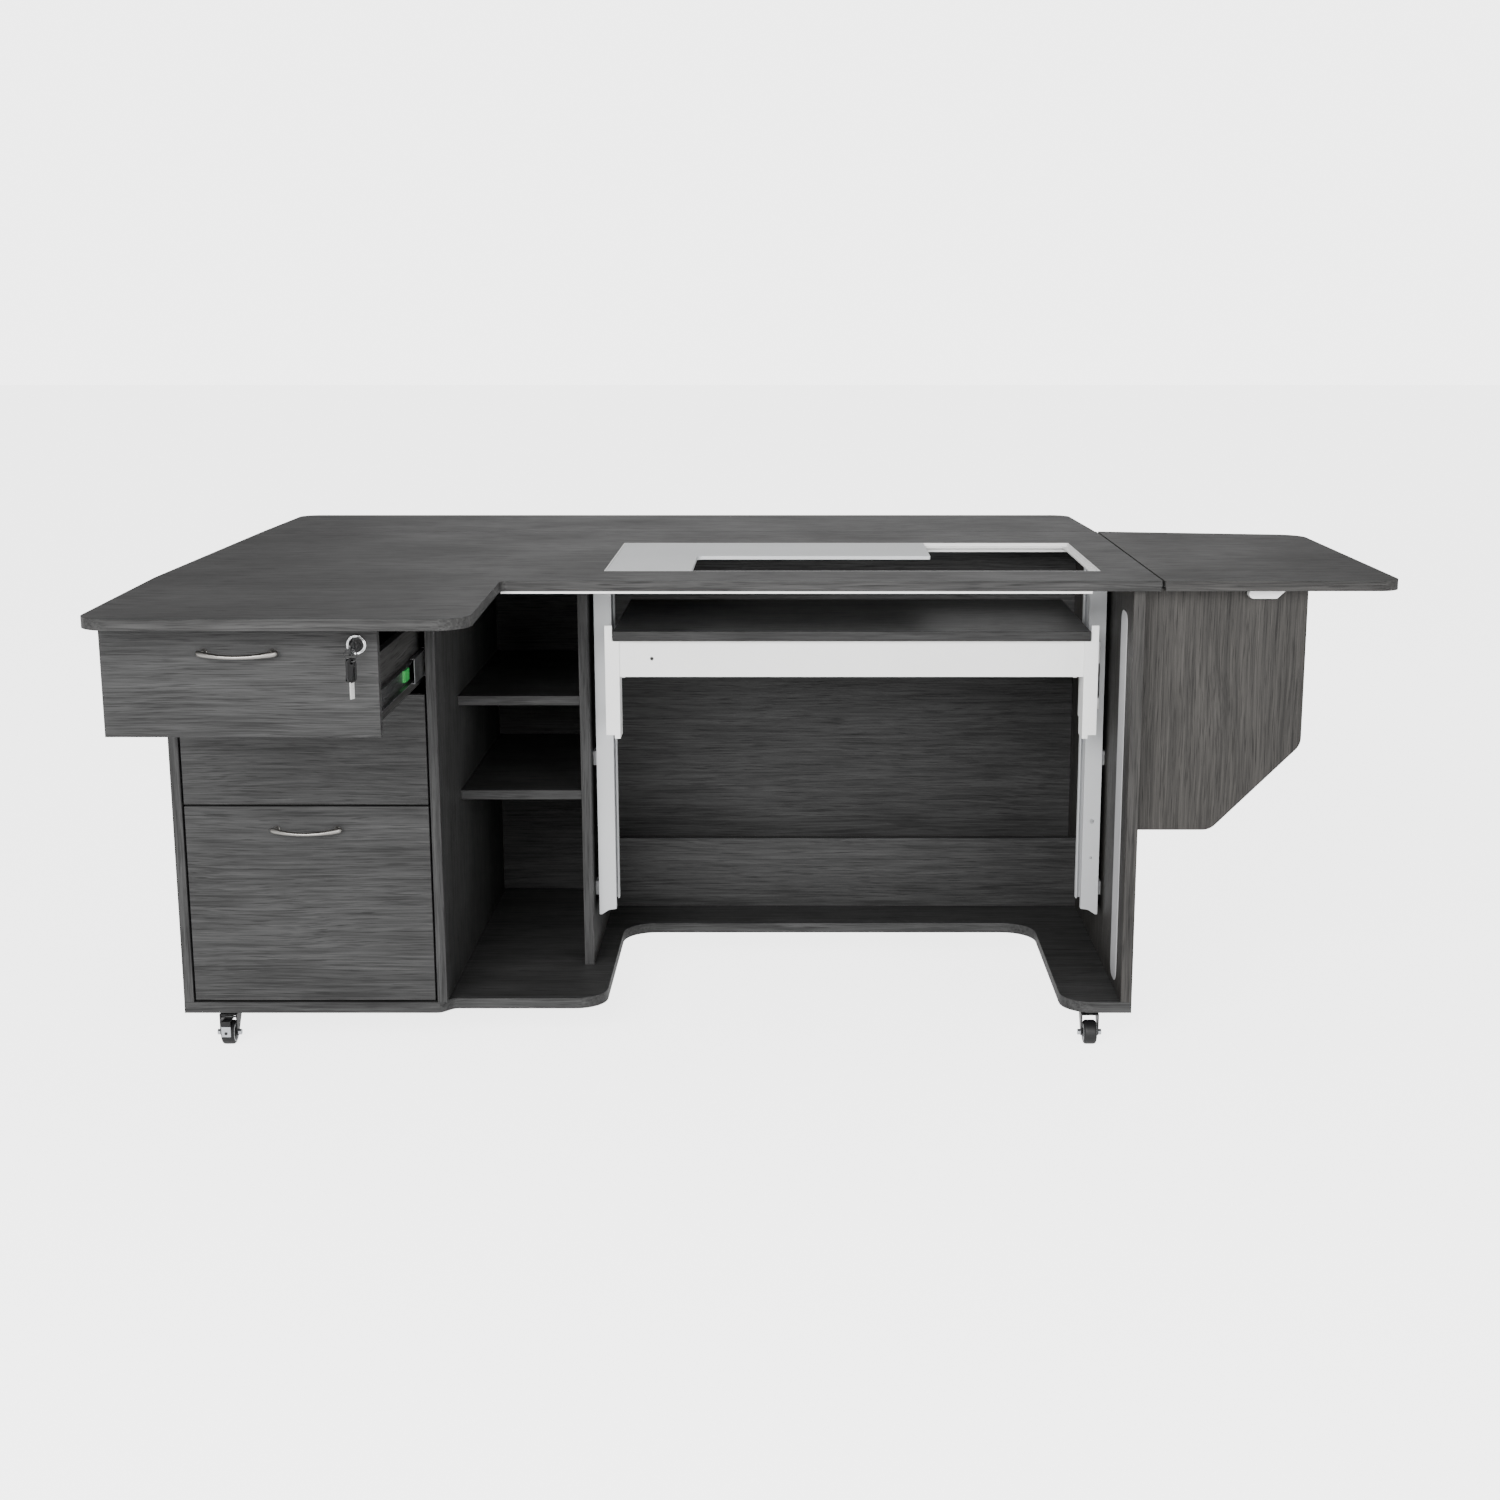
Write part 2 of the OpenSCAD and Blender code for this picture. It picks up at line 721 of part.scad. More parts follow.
// The plug, its cam and the key that stands in it turn together
module drawer_key() {
    color(black_part) at_lock() {
        rod_y([0, -3.5, 0], plug_r, cam_y + 3.5);
        block([-27, cam_y, -6], [6, cam_y + 2, 6]);
        block([-1, -14, -4], [1, -3.5, 4]);
        difference() {
            translate([-1.5, 0, 0]) rotate([90, 0, 90]) linear_extrude(3) polygon(rounded([
                [-14, -7, 2], [-14, 7, 2], [-30, 11, 6], [-47, 8, 6], [-47, -8, 6], [-30, -11, 6]
            ]));
            rod_x([-2, key_hole_y, 0], 3, 4);
        }
    }
}

// The second key hangs from the first on a wire ring
module spare_key() {
    color(black_part) at_lock() translate([0, key_hole_y, 0]) {
        translate([0, 0, -key_ring_r]) rotate([90, 0, 0])
            rotate_extrude() translate([key_ring_r, 0]) circle(r = key_wire_r, $fn = 16);
        translate([0, 0, -2 * key_ring_r]) rotate([0, 0, -35]) {
            difference() {
                translate([-1.75, 0, 0]) rotate([90, 0, 90]) linear_extrude(3.5) polygon(rounded([
                    [-9, 5, 4], [-9, -24, 4], [-6, -28, 2], [6, -28, 2], [9, -24, 4], [9, 5, 4]
                ]));
                rod_x([-3, 0, 0], 3.2, 6);
            }
            block([-1, -4, -52], [1, 4, -28]);
        }
    }
}

// ---------- machine lift ----------

// One rail: a channel that opens towards the kneehole, on three spacers, with a curved lower end
module rail(holes) {
    x0 = knee_x0 + rail_gap;
    x1 = x0 + rail_w;
    y1 = rail_y + rail_d;
    difference() {
        block([x0, rail_y, rail_z0], [x1, y1, top_under]);
        block([x0 + rail_t, rail_y + rail_t, rail_z0 - 1], [x1 - rail_t, y1 - rail_t, top_under + 1]);
        block([x1 - rail_t - 1, rail_y + rail_lip, rail_z0 - 1], [x1 + 1, y1 - rail_lip, top_under + 1]);
        upright(rounded([[x0 - 1, rail_z0 - 5, 0], [x0 + 4, rail_z0, 2], [x0 + 16, rail_z0 + 8, 12],
                         [x1 + 1, rail_z0 + 10, 0], [x1 + 1, rail_z0 - 5, 0]]), rail_y - 1, rail_d + 2);
        for (dz = [0, -lift_down, lift_up])
            rod_x([x0 - 1, pin_y, pin_z + dz], pin_hole_r, rail_t + 2);
        for (z = rail_screw_zs) rod_x([x0 - 1, pin_y, z], screw_hole_r, rail_t + 2);
        if (holes) {
            block([x0 + 8, rail_y - 1, rail_z0 + 360], [x0 + 15, rail_y + rail_t + 1, rail_z0 + 475]);
            rod_y([x0 + 14, rail_y - 1, rail_z0 + 165], 4, rail_t + 2);
            rod_y([x0 + 14, rail_y - 1, rail_z0 + 101], 2.5, rail_t + 2);
        }
    }
    for (z = rail_screw_zs) difference() {
        block([knee_x0, pin_y - 15, z - 12], [x0, pin_y + 15, z + 12]);
        rod_x([knee_x0 - 1, pin_y, z], screw_hole_r, rail_gap + 2);
    }
}

module lift_rails() {
    color(grey_steel) place() {
        rail(false);
        across_knee() rail(true);
    }
}

// The screws that hold one rail, or the holes they need in the panel behind it
module rail_screws(heads) {
    x = knee_x0 + rail_gap + rail_t;
    for (z = rail_screw_zs) {
        rod_x([knee_x0 - 11, pin_y, z], heads ? screw_r : screw_hole_r, x - knee_x0 + 11);
        if (heads) rod_x([x, pin_y, z], 4, 2);
    }
}

module caster_screws(c, heads) {
    for (dx = [-1, 1] * caster_screw_at, dy = [-1, 1] * caster_screw_at) {
        rod_z([c.x + dx, c.y + dy, caster_h - caster_plate_t], heads ? screw_r : screw_hole_r,
              caster_plate_t + 12);
        if (heads) rod_z([c.x + dx, c.y + dy, caster_h - caster_plate_t - 1.6], 3.5, 1.6);
    }
}

module fixing_screws() {
    color(zinc) place() {
        rail_screws(true);
        across_knee() rail_screws(true);
        for (c = caster_at) caster_screws(c, true);
    }
}

// Gas struts stand behind the rails. Each lifts a pulley, and a cable over it lifts the carriage.
module on_both_sides() {
    children();
    across_knee() children();
}

module gas_strut_cylinders() {
    color(black_part) place() on_both_sides() {
        difference() {
            rod_z([strut_x, strut_y, strut_z0], strut_r, strut_len);
            rod_z([strut_x, strut_y, strut_z0 + 6], rod_bore_r, strut_len);
        }
        difference() {
            block([strut_x - 8, rail_y + rail_d, strut_z0 + 8], [strut_x + 8, strut_y, strut_z0 + 26]);
            rod_z([strut_x, strut_y, strut_z0], strut_r, strut_len);
        }
    }
}

module gas_strut_rods() {
    rod_top = strut_z0 + strut_len + 8 + rod_rest;
    color(zinc) place() on_both_sides() {
        rod_z([strut_x, strut_y, strut_z0 + 28 + rod_rest], rod_r, rod_top - strut_z0 - 28 - rod_rest);
        difference() {
            rod_x([strut_x - 5, strut_y, rod_top + 10], 12, 10);
            translate([strut_x, strut_y, rod_top + 10]) rotate([0, 90, 0])
                rotate_extrude() translate([12, 0]) circle(r = 2.5, $fn = 16);
        }
    }
}

module lift_platform() {
    x0 = opening_x0 + platform_side_gap;
    color([0.22, 0.22, 0.23]) place()
        block([x0, platform_y0, platform_z - board],
              [2 * knee_mid - x0, platform_y1, platform_z]);
}

// One side of the lift's welded frame: a stepped front flange, a web behind the beam, and a post
// that hangs from the web's lower edge and carries two glides in the rail
module lift_side() {
    x0 = opening_x0 - 2;
    x1 = x0 + bracket_w;
    z1 = platform_z + lip_rise;
    z0 = z1 - bracket_h;
    rail_in = knee_x0 + rail_gap + rail_t + glide_clear;
    seat = platform_z - board;
    upright([[x0, z0], [x0 + 14, z0], [x0 + 14, z0 - 6], [x1, z0 - 6], [x1, seat],
             [x0 + 12, seat], [x0 + 12, z1], [x0, z1]], bracket_y, steel_t);
    block([x1 - steel_t, bracket_y, seat - beam_h], [x1, bracket_y + web_d, seat]);
    block([x1 - steel_t, bracket_y, z0 - 6], [x1, bracket_y + return_d, seat]);
    block([x0 + post_x, pin_y - 20, seat - beam_h], [x1, pin_y + 20, seat - beam_h + steel_t]);
    block([x0 + post_x, bracket_y, z0], [x0 + post_x + post_t, pin_y - 19, z0 + 30]);
    difference() {
        block([x0 + post_x, pin_y - 20, z0], [x0 + post_x + post_t, pin_y + 20, z0 + 140]);
        rod_x([x0 + post_x - 1, pin_y, pin_z], pin_r + 0.08, post_t + 2);
    }
    block([x1 - eps, bracket_y + steel_t, seat - steel_t], [x1 + 25, bracket_y + web_d, seat]);
    for (z = [z0, z0 + 100]) {
        block([rail_in + 16, pin_y - 20, z], [x0 + post_x + eps, pin_y + 20, z + 40]);
        block([rail_in, rail_y + rail_t + 1, z], [rail_in + 18, rail_y + rail_d - rail_t - 1, z + 40]);
    }
}

module lift_frame() {
    x0 = opening_x0 - 2 + bracket_w;
    seat = platform_z - board;
    color(white_steel) place() {
        on_both_sides() lift_side();
        difference() {
            block([x0 - eps, bracket_y + 5, seat - beam_h],
                  [2 * knee_mid - x0 + eps, bracket_y + 5 + beam_d, seat]);
            block([x0 - 1, bracket_y + 5 + steel_t, seat - beam_h + steel_t],
                  [2 * knee_mid - x0 + 1, bracket_y + 5 + beam_d - steel_t, seat - steel_t]);
            rod_y([x0 + 53, bracket_y + 4, seat - 30], 3, 6);
        }
    }
}

// A lock pin with its knob, on the left side of the lift, drawn back from the rail
module lock_pin() {
    face = opening_x0 - 2 + post_x + post_t;
    tip = knee_x0 + rail_gap + rail_t + 4;
    rod_x([tip, pin_y, pin_z], pin_r, face + 8 - tip);
    rod_x([face + pin_travel + 0.5, pin_y, pin_z], 6, 6);
}

module left_lock_pin() color(white_steel) place() lock_pin();
module right_lock_pin() color(white_steel) place() across_knee() lock_pin();

// ---------- casters ----------

module at_caster(i) {
    place() translate([caster_at[i].x, caster_at[i].y, 0]) children();
}

module caster_plates() {
    color(black_part) for (i = [0:3]) at_caster(i) {
        difference() {
            translate([-caster_plate_half, -caster_plate_half, caster_h - caster_plate_t])
                cube([2 * caster_plate_half, 2 * caster_plate_half, caster_plate_t]);
            for (dx = [-1, 1] * caster_screw_at, dy = [-1, 1] * caster_screw_at)
                rod_z([dx, dy, caster_h - caster_plate_t - 1], screw_hole_r, caster_plate_t + 2);
        }
        rod_z([0, 0, fork_top + 6.3], 10, caster_h - caster_plate_t - fork_top - 6.3);
        rod_z([0, 0, fork_top - 3], kingpin_r, caster_h - fork_top);
        rod_z([0, 0, fork_top - 4.5], 6.5, 2.2);
    }
}

// A leg's outline in Y and Z, narrowing from the crown to the axle
module fork_leg() {
    z = wheel_d / 2;
    difference() {
        union() {
            polygon([[-trail - 6, fork_top], [14, fork_top], [-trail + 6, z], [-trail - 6, z]]);
            translate([-trail, z]) circle(r = 6);
        }
        translate([-trail, z]) circle(r = axle_r, $fn = 32);
    }
}

module caster_fork(i, pedal) {
    nut_x = fork_gap + fork_t;
    color(black_part) at_caster(i) {
        difference() {
            union() {
                rod_z([0, 0, fork_top], crown_r, 6);
                translate([-nut_x, -trail - 6, fork_top - 2]) cube([2 * nut_x, trail + 20, 2 + eps]);
                for (s = [-1, 1]) translate([s > 0 ? fork_gap : -fork_gap - fork_t, 0, 0])
                    rotate([90, 0, 90]) linear_extrude(fork_t) fork_leg();
            }
            rod_z([0, 0, fork_top - 6], 7.5, 6);
            rod_z([0, 0, fork_top - 1], kingpin_bore_r, 8);
        }
        rod_x([-nut_x - 1, -trail, wheel_d / 2], axle_r, 2 * nut_x + 2);
        for (x = [nut_x, -nut_x - nut_t]) translate([x, -trail, wheel_d / 2])
            rotate([0, 90, 0]) cylinder(r = 5, h = nut_t, $fn = 6);
        if (pedal) rod_x([-nut_x, -trail, pedal_pivot_z], 1.5, 2 * nut_x);
    }
}

module caster_wheel(i) {
    h = wheel_w / 2;
    r = wheel_d / 2;
    color(black_part) at_caster(i) translate([0, -trail, r]) rotate([0, 90, 0])
        rotate_extrude() polygon(rounded([
            [wheel_bore_r, -h, 0], [7, -h, 0], [7, -h + 3, 1], [14, -h + 3, 1], [15, -h, 1],
            [r, -h, 5], [r, h, 5], [15, h, 1], [14, h - 3, 1], [7, h - 3, 1], [7, h, 0],
            [wheel_bore_r, h, 0]
        ]));
}

// A brake pedal: an arm over the wheel and a plate that hangs in front of it
module brake_pedal(i) {
    r = wheel_d / 2;
    front = -trail - r - 4;
    color(zinc) at_caster(i) difference() {
        union() {
            rod_x([-7, -trail, pedal_pivot_z], 3.4, 14);
            block([-7, front, pedal_pivot_z - 3], [7, -trail, pedal_pivot_z - 1]);
            block([-7.5, front, r - 1], [7.5, front + 1.6, pedal_pivot_z - 1]);
        }
        rod_x([-20, -trail, pedal_pivot_z], 1.56, 40);
    }
}

// ---------- nodes ----------

base_board();
drawer_unit_left_panel();
drawer_unit_right_panel();
shelf_bay_panel();
right_end_panel();
back_panel();
kick_board();
shelves();
main_top();
front_stiffener();
opening_liner();
lift_rails();
fixing_screws();
gas_strut_cylinders();
runner_outer_members();
side_strip();
fixed_hinge_plates();
caster_plates();
drawer_front(0);  // top_drawer_front
drawer_box(0);  // top_drawer_box
drawer_handle(0);  // top_drawer_handle
drawer_runners(0);  // top_drawer_runners
drawer_front(1);  // middle_drawer_front
drawer_box(1);  // middle_drawer_box
drawer_handle(1);  // middle_drawer_handle
drawer_runners(1);  // middle_drawer_runners
drawer_front(2);  // bottom_drawer_front
drawer_box(2);  // bottom_drawer_box
drawer_handle(2);  // bottom_drawer_handle
drawer_runners(2);  // bottom_drawer_runners
runner_links(0);  // top_runner_links
runner_links(1);  // middle_runner_links
runner_links(2);  // bottom_runner_links
drawer_lock();
drawer_key();
spare_key();
lift_platform();
lift_frame();
gas_strut_rods();
left_lock_pin();
right_lock_pin();
side_leaf();
leaf_stop();
side_leaf_hinge();
side_gate();
gate_hinge();
rear_leaf();
rear_leaf_hinge();
rear_leaf_stays();
machine_insert();
caster_fork(0, true);  // front_left_fork
caster_fork(1, false);  // front_right_fork
caster_fork(2, false);  // rear_left_fork
caster_fork(3, true);  // rear_right_fork
caster_wheel(0);  // front_left_wheel
caster_wheel(1);  // front_right_wheel
caster_wheel(2);  // rear_left_wheel
caster_wheel(3);  // rear_right_wheel
brake_pedal(0);  // front_left_pedal
brake_pedal(3);  // rear_right_pedal
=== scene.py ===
# %% [markdown]
# # A sewing cabinet on casters
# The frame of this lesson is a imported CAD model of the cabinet.

# %% Load the frame
import json
import math
import bpy
from mathutils import Matrix, Vector


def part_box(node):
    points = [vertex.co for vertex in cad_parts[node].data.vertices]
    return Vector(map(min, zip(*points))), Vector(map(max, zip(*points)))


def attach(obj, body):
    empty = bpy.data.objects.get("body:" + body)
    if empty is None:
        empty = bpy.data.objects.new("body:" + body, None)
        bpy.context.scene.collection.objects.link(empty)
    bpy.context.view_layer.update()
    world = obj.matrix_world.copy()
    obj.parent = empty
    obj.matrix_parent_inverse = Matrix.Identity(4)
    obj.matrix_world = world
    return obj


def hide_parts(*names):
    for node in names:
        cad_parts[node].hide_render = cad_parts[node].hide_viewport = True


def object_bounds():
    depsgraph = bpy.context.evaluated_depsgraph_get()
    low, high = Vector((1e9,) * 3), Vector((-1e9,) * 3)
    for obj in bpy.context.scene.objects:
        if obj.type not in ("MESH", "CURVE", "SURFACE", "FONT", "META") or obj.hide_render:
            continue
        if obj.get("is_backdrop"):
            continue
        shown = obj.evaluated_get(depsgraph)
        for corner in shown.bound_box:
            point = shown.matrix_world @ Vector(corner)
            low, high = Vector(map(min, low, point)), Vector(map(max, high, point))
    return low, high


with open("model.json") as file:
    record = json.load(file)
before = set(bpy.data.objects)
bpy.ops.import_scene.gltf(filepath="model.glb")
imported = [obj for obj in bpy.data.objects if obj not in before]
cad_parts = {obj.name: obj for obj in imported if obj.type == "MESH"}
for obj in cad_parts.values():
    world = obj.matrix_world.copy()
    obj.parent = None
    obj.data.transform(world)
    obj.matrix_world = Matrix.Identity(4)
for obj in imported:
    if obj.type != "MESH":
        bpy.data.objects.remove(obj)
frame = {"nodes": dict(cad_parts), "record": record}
nodes = frame["nodes"]
body_of_node = {n: b for b, ns in frame["record"]["behaviour"]["bodies"].items() for n in ns}
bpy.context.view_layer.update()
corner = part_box("drawer_unit_left_panel")[0]


def at(x, y, z):
    """A place in metres, from millimetres right of, behind and above the carcase's front left foot."""
    return Vector((corner.x + x / 1000, corner.y + y / 1000, z / 1000))


# %% [markdown]
# Materials come before shapes, because the same few finishes cover the whole cabinet. A material is
# a small graph of nodes. Wiring each graph by hand takes many lines, so a helper adds a node, sets
# its inputs and joins its links in one call.

# %% A helper that adds and wires one node
def node(tree, kind, inputs=None, **settings):
    made = tree.nodes.new("ShaderNode" + kind)
    for key, value in settings.items():
        setattr(made, key, value)
    for key, value in (inputs or {}).items():
        if isinstance(value, bpy.types.NodeSocket):
            tree.links.new(value, made.inputs[key])
        else:
            made.inputs[key].default_value = value
    return made


def sum_of(tree, a, b):
    return node(tree, "Math", {0: a, 1: b}, operation="ADD").outputs[0]


def times(tree, a, b):
    return node(tree, "Math", {0: a, 1: b}, operation="MULTIPLY").outputs[0]


def spread(tree, value, low, high, to_low=0.0, to_high=1.0):
    return node(tree, "MapRange", {"Value": value, "From Min": low, "From Max": high,
                                   "To Min": to_low, "To Max": to_high}).outputs[0]


def noise(tree, vector, detail=3.0, roughness=0.5, distortion=0.0):
    return node(tree, "TexNoise", {"Vector": vector, "Scale": 1.0, "Detail": detail,
                                   "Roughness": roughness, "Distortion": distortion}).outputs["Fac"]


def scaled(tree, vector, scale, location=(0, 0, 0)):
    return node(tree, "Mapping", {"Vector": vector, "Scale": scale,
                                  "Location": location}).outputs["Vector"]


def new_group(name, inputs, outputs):
    group = bpy.data.node_groups.new(name, "ShaderNodeTree")
    for label, kind in inputs:
        group.interface.new_socket(label, in_out="INPUT", socket_type="NodeSocket" + kind)
    for label, kind in outputs:
        group.interface.new_socket(label, in_out="OUTPUT", socket_type="NodeSocket" + kind)
    entry = group.nodes.new("NodeGroupInput")
    leave = group.nodes.new("NodeGroupOutput")
    return group, entry.outputs, leave.inputs

# %% [markdown]
# The boards are particle board under a printed woodgrain film. Film like this shows three sizes of
# figure: broad waving bands, fine streaks that run with the grain, and short dark pores. One node
# group makes all three from stretched noise, and puts out a figure, a pore mask and a height. The
# streaks sway sideways a little, as grain does. They always run along the group's own X, so each
# board turns its coordinates to suit.

# %% The woodgrain group
GRAIN, grain_in, grain_out = new_group(
    "woodgrain", [("Vector", "Vector")],
    [("Figure", "Float"), ("Pores", "Float"), ("Height", "Float")])
place = grain_in["Vector"]
broad = noise(GRAIN, scaled(GRAIN, place, (1.6, 14, 14)), 2.0, 0.5, 0.4)
sway = noise(GRAIN, scaled(GRAIN, place, (3.2, 9, 9)), 1.0, 0.5)
apart = node(GRAIN, "SeparateXYZ", {"Vector": place})
SWAY_M = 0.014
sideways = times(GRAIN, sway, SWAY_M)
bent = node(GRAIN, "CombineXYZ", {
    "X": apart.outputs["X"], "Y": sum_of(GRAIN, apart.outputs["Y"], sideways),
    "Z": sum_of(GRAIN, apart.outputs["Z"], sideways)}).outputs["Vector"]
across = sum_of(GRAIN, apart.outputs["Y"], apart.outputs["Z"])
waving = sum_of(GRAIN, times(GRAIN, across, 150.0), times(GRAIN, broad, 38.0))
bands = node(GRAIN, "Math", {0: waving}, operation="SINE").outputs[0]
streaks = noise(GRAIN, scaled(GRAIN, bent, (5, 210, 210)), 4.0, 0.6)
fine = noise(GRAIN, scaled(GRAIN, bent, (11, 520, 520)), 3.0, 0.6)
pores = spread(GRAIN, noise(GRAIN, scaled(GRAIN, bent, (18, 640, 640)), 1.0, 0.5), 0.56, 0.68)
figure = times(GRAIN, bands, 0.05)
for layer, low, high, share in ((streaks, 0.34, 0.66, 0.42), (broad, 0.3, 0.7, 0.20),
                                (fine, 0.3, 0.7, 0.33)):
    figure = sum_of(GRAIN, figure, times(GRAIN, spread(GRAIN, layer, low, high), share))
GRAIN.links.new(spread(GRAIN, figure, 0.12, 0.88), grain_out["Figure"])
GRAIN.links.new(pores, grain_out["Pores"])
height = sum_of(GRAIN, times(GRAIN, streaks, 0.6), times(GRAIN, pores, -0.5))
GRAIN.links.new(height, grain_out["Height"])
print("woodgrain group has", len(GRAIN.nodes), "nodes")

# %% [markdown]
# Nothing in a used room is perfectly even. A second group makes soft patches where hands and cloth
# have polished or dulled a surface, and fine specks like the peel of powder coat. Each finish takes
# as much of each as it needs.

# %% The handling group
HANDLING, hand_in, hand_out = new_group(
    "handling", [("Vector", "Vector"), ("Speck size", "Float")],
    [("Patches", "Float"), ("Specks", "Float")])
patches = noise(HANDLING, scaled(HANDLING, hand_in["Vector"], (5, 5, 5)), 4.0, 0.55)
HANDLING.links.new(spread(HANDLING, patches, 0.3, 0.7), hand_out["Patches"])
speck = node(HANDLING, "TexNoise", {"Vector": hand_in["Vector"], "Scale": hand_in["Speck size"],
                                    "Detail": 2.0, "Roughness": 0.5})
HANDLING.links.new(speck.outputs["Fac"], hand_out["Specks"])


def handled(tree, coordinates, speck_size):
    hand = node(tree, "Group", node_tree=HANDLING)
    tree.links.new(coordinates, hand.inputs["Vector"])
    hand.inputs["Speck size"].default_value = speck_size
    return hand.outputs


print("handling group has", len(HANDLING.nodes), "nodes")

# %% [markdown]
# With the groups made, a melamine board is short to write. The film is printed, so its colour
# follows the figure, its sheen drops a little in the pores, and a shallow bump makes light break
# along the grain. Boards cut from different sheets don't line up, so each gets its own shift.

# %% Woodgrain melamine
TURNS = {"x": (0, 0, 0), "y": (0, 0, math.radians(90)), "z": (0, math.radians(90), 0)}


def start_material(name):
    made = bpy.data.materials.new(name)
    made.use_nodes = True
    tree = made.node_tree
    shader = tree.nodes["Principled BSDF"]
    coordinates = node(tree, "TexCoord").outputs["Object"]
    return made, tree, shader, coordinates


def blended(tree, mask, a, b):
    return node(tree, "Mix", {0: mask, 6: a, 7: b}, data_type="RGBA").outputs[2]


def bump(tree, shader, height, strength, distance):
    made = node(tree, "Bump", {"Height": height, "Strength": strength, "Distance": distance})
    tree.links.new(made.outputs["Normal"], shader.inputs["Normal"])


def grey(level, warmth=0.0):
    return (level * (1 + warmth), level, level * (1 - warmth), 1)


def melamine(name, along, dark, light, warmth, shift):
    made, tree, shader, coordinates = start_material(name)
    along_grain = node(tree, "Mapping", {
        "Vector": coordinates, "Rotation": TURNS[along],
        "Location": (shift, shift * 1.7, shift * 0.6)}).outputs["Vector"]
    grain = node(tree, "Group", node_tree=GRAIN)
    tree.links.new(along_grain, grain.inputs["Vector"])
    hand = handled(tree, coordinates, 700)
    colour = blended(tree, grain.outputs["Figure"], grey(dark, warmth), grey(light, warmth))
    colour = blended(tree, times(tree, grain.outputs["Pores"], 0.55), colour, grey(dark * 0.45, warmth))
    tree.links.new(colour, shader.inputs["Base Color"])
    sheen = sum_of(tree, spread(tree, hand["Patches"], 0, 1, 0.46, 0.56),
                   times(tree, grain.outputs["Pores"], 0.12))
    tree.links.new(sheen, shader.inputs["Roughness"])
    shader.inputs["Specular IOR Level"].default_value = 0.2
    bump(tree, shader, grain.outputs["Height"], 0.35, 0.0004)
    return made


# Factors below 1 make darker copies of the same film for the back, right end, gate, side leaf, drawer
# boxes and platform. This darkening is painted shade, set to how dark each of these boards shows in its
# place.
DARK, LIGHT = 0.0145, 0.060
boards = {
    "worktop": melamine("melamine_worktop", "x", DARK, LIGHT, 0.01, 0.0),
    "rear": melamine("melamine_rear_leaf", "x", DARK, LIGHT, 0.01, 3.1),
    "front": melamine("melamine_drawer_fronts", "x", DARK, LIGHT, 0.0, 1.3),
    "back": melamine("melamine_back", "x", DARK * 0.9, LIGHT * 0.9, 0.0, 5.9),
    "upright": melamine("melamine_uprights", "z", DARK, LIGHT, 0.0, 2.2),
    "end": melamine("melamine_right_end", "z", DARK, LIGHT * 0.9, 0.05, 7.4),
    "gate": melamine("melamine_gate", "z", DARK, LIGHT * 0.85, 0.07, 4.6),
    "leaf": melamine("melamine_side_leaf", "x", DARK * 0.9, LIGHT * 0.85, 0.03, 6.3),
    "box": melamine("melamine_drawer_boxes", "y", DARK, LIGHT * 0.9, 0.02, 8.8),
    "lift": melamine("melamine_platform", "x", DARK * 0.8, LIGHT * 0.65, 0.0, 9.7),
}
print(len(boards), "melamine finishes")

# %% [markdown]
# The steel of the lift and the rails is powder coated. Powder melts into a skin with a faint peel,
# which a low bump of fine noise gives, and hands leave it a little glossier in patches. Moulded
# plastics use the same recipe with other values, so one function makes both.

# %% Powder coat and moulded plastic
def darker(colour, share):
    return tuple(c * (1 - share) for c in colour) + (1,)


def coated(name, colour, rough, peel_size, peel, variation=0.06, metallic=0.0, **sockets):
    made, tree, shader, coordinates = start_material(name)
    hand = handled(tree, coordinates, peel_size)
    mixed = blended(tree, hand["Patches"], darker(colour, variation), darker(colour, 0))
    tree.links.new(mixed, shader.inputs["Base Color"])
    tree.links.new(spread(tree, hand["Patches"], 0, 1, rough + 0.06, rough - 0.04),
                   shader.inputs["Roughness"])
    shader.inputs["Metallic"].default_value = metallic
    for key, value in sockets.items():
        shader.inputs[key.replace("_", " ")].default_value = value
    bump(tree, shader, hand["Specks"], peel, 0.0003)
    return made


white_coat = coated("white_powder_coat", (0.86, 0.86, 0.85), 0.38, 900, 0.12)
grey_coat = coated("light_grey_powder_coat", (0.52, 0.53, 0.54), 0.40, 900, 0.15)
strip_coat = coated("pale_strip", (0.42, 0.42, 0.43), 0.45, 1200, 0.10)
white_plastic = coated("white_plastic", (0.86, 0.86, 0.85), 0.35, 1400, 0.05, 0.03)
black_enamel = coated("black_enamel", (0.012, 0.012, 0.013), 0.25, 800, 0.06)
black_nylon = coated("black_nylon", (0.006, 0.006, 0.0065), 0.34, 1500, 0.18,
                     Specular_IOR_Level=0.35)
tyre_black = coated("black_tyre", (0.008, 0.008, 0.0085), 0.50, 1100, 0.30,
                    Specular_IOR_Level=0.35)
rim_grey = coated("grey_rim", (0.42, 0.43, 0.44), 0.35, 1200, 0.10)
key_black = coated("black_key_head", (0.007, 0.007, 0.0075), 0.34, 1800, 0.15,
                   Specular_IOR_Level=0.35)
clip_green = coated("green_clip", (0.03, 0.36, 0.07), 0.35, 1500, 0.12)
acrylic = coated("frosted_acrylic", (0.82, 0.84, 0.85), 0.42, 1600, 0.10, 0.03,
                 Transmission_Weight=0.25, IOR=1.49)
print("coats and plastics made")

# %% [markdown]
# Bare metal differs by how it was finished. Nickel handles are brushed along their length, zinc
# plate has a mottled, slightly blue bloom, and chrome is nearly a mirror with faint smudges. Fine
# streaks of stretched noise in the roughness and the bump give the brushed look.

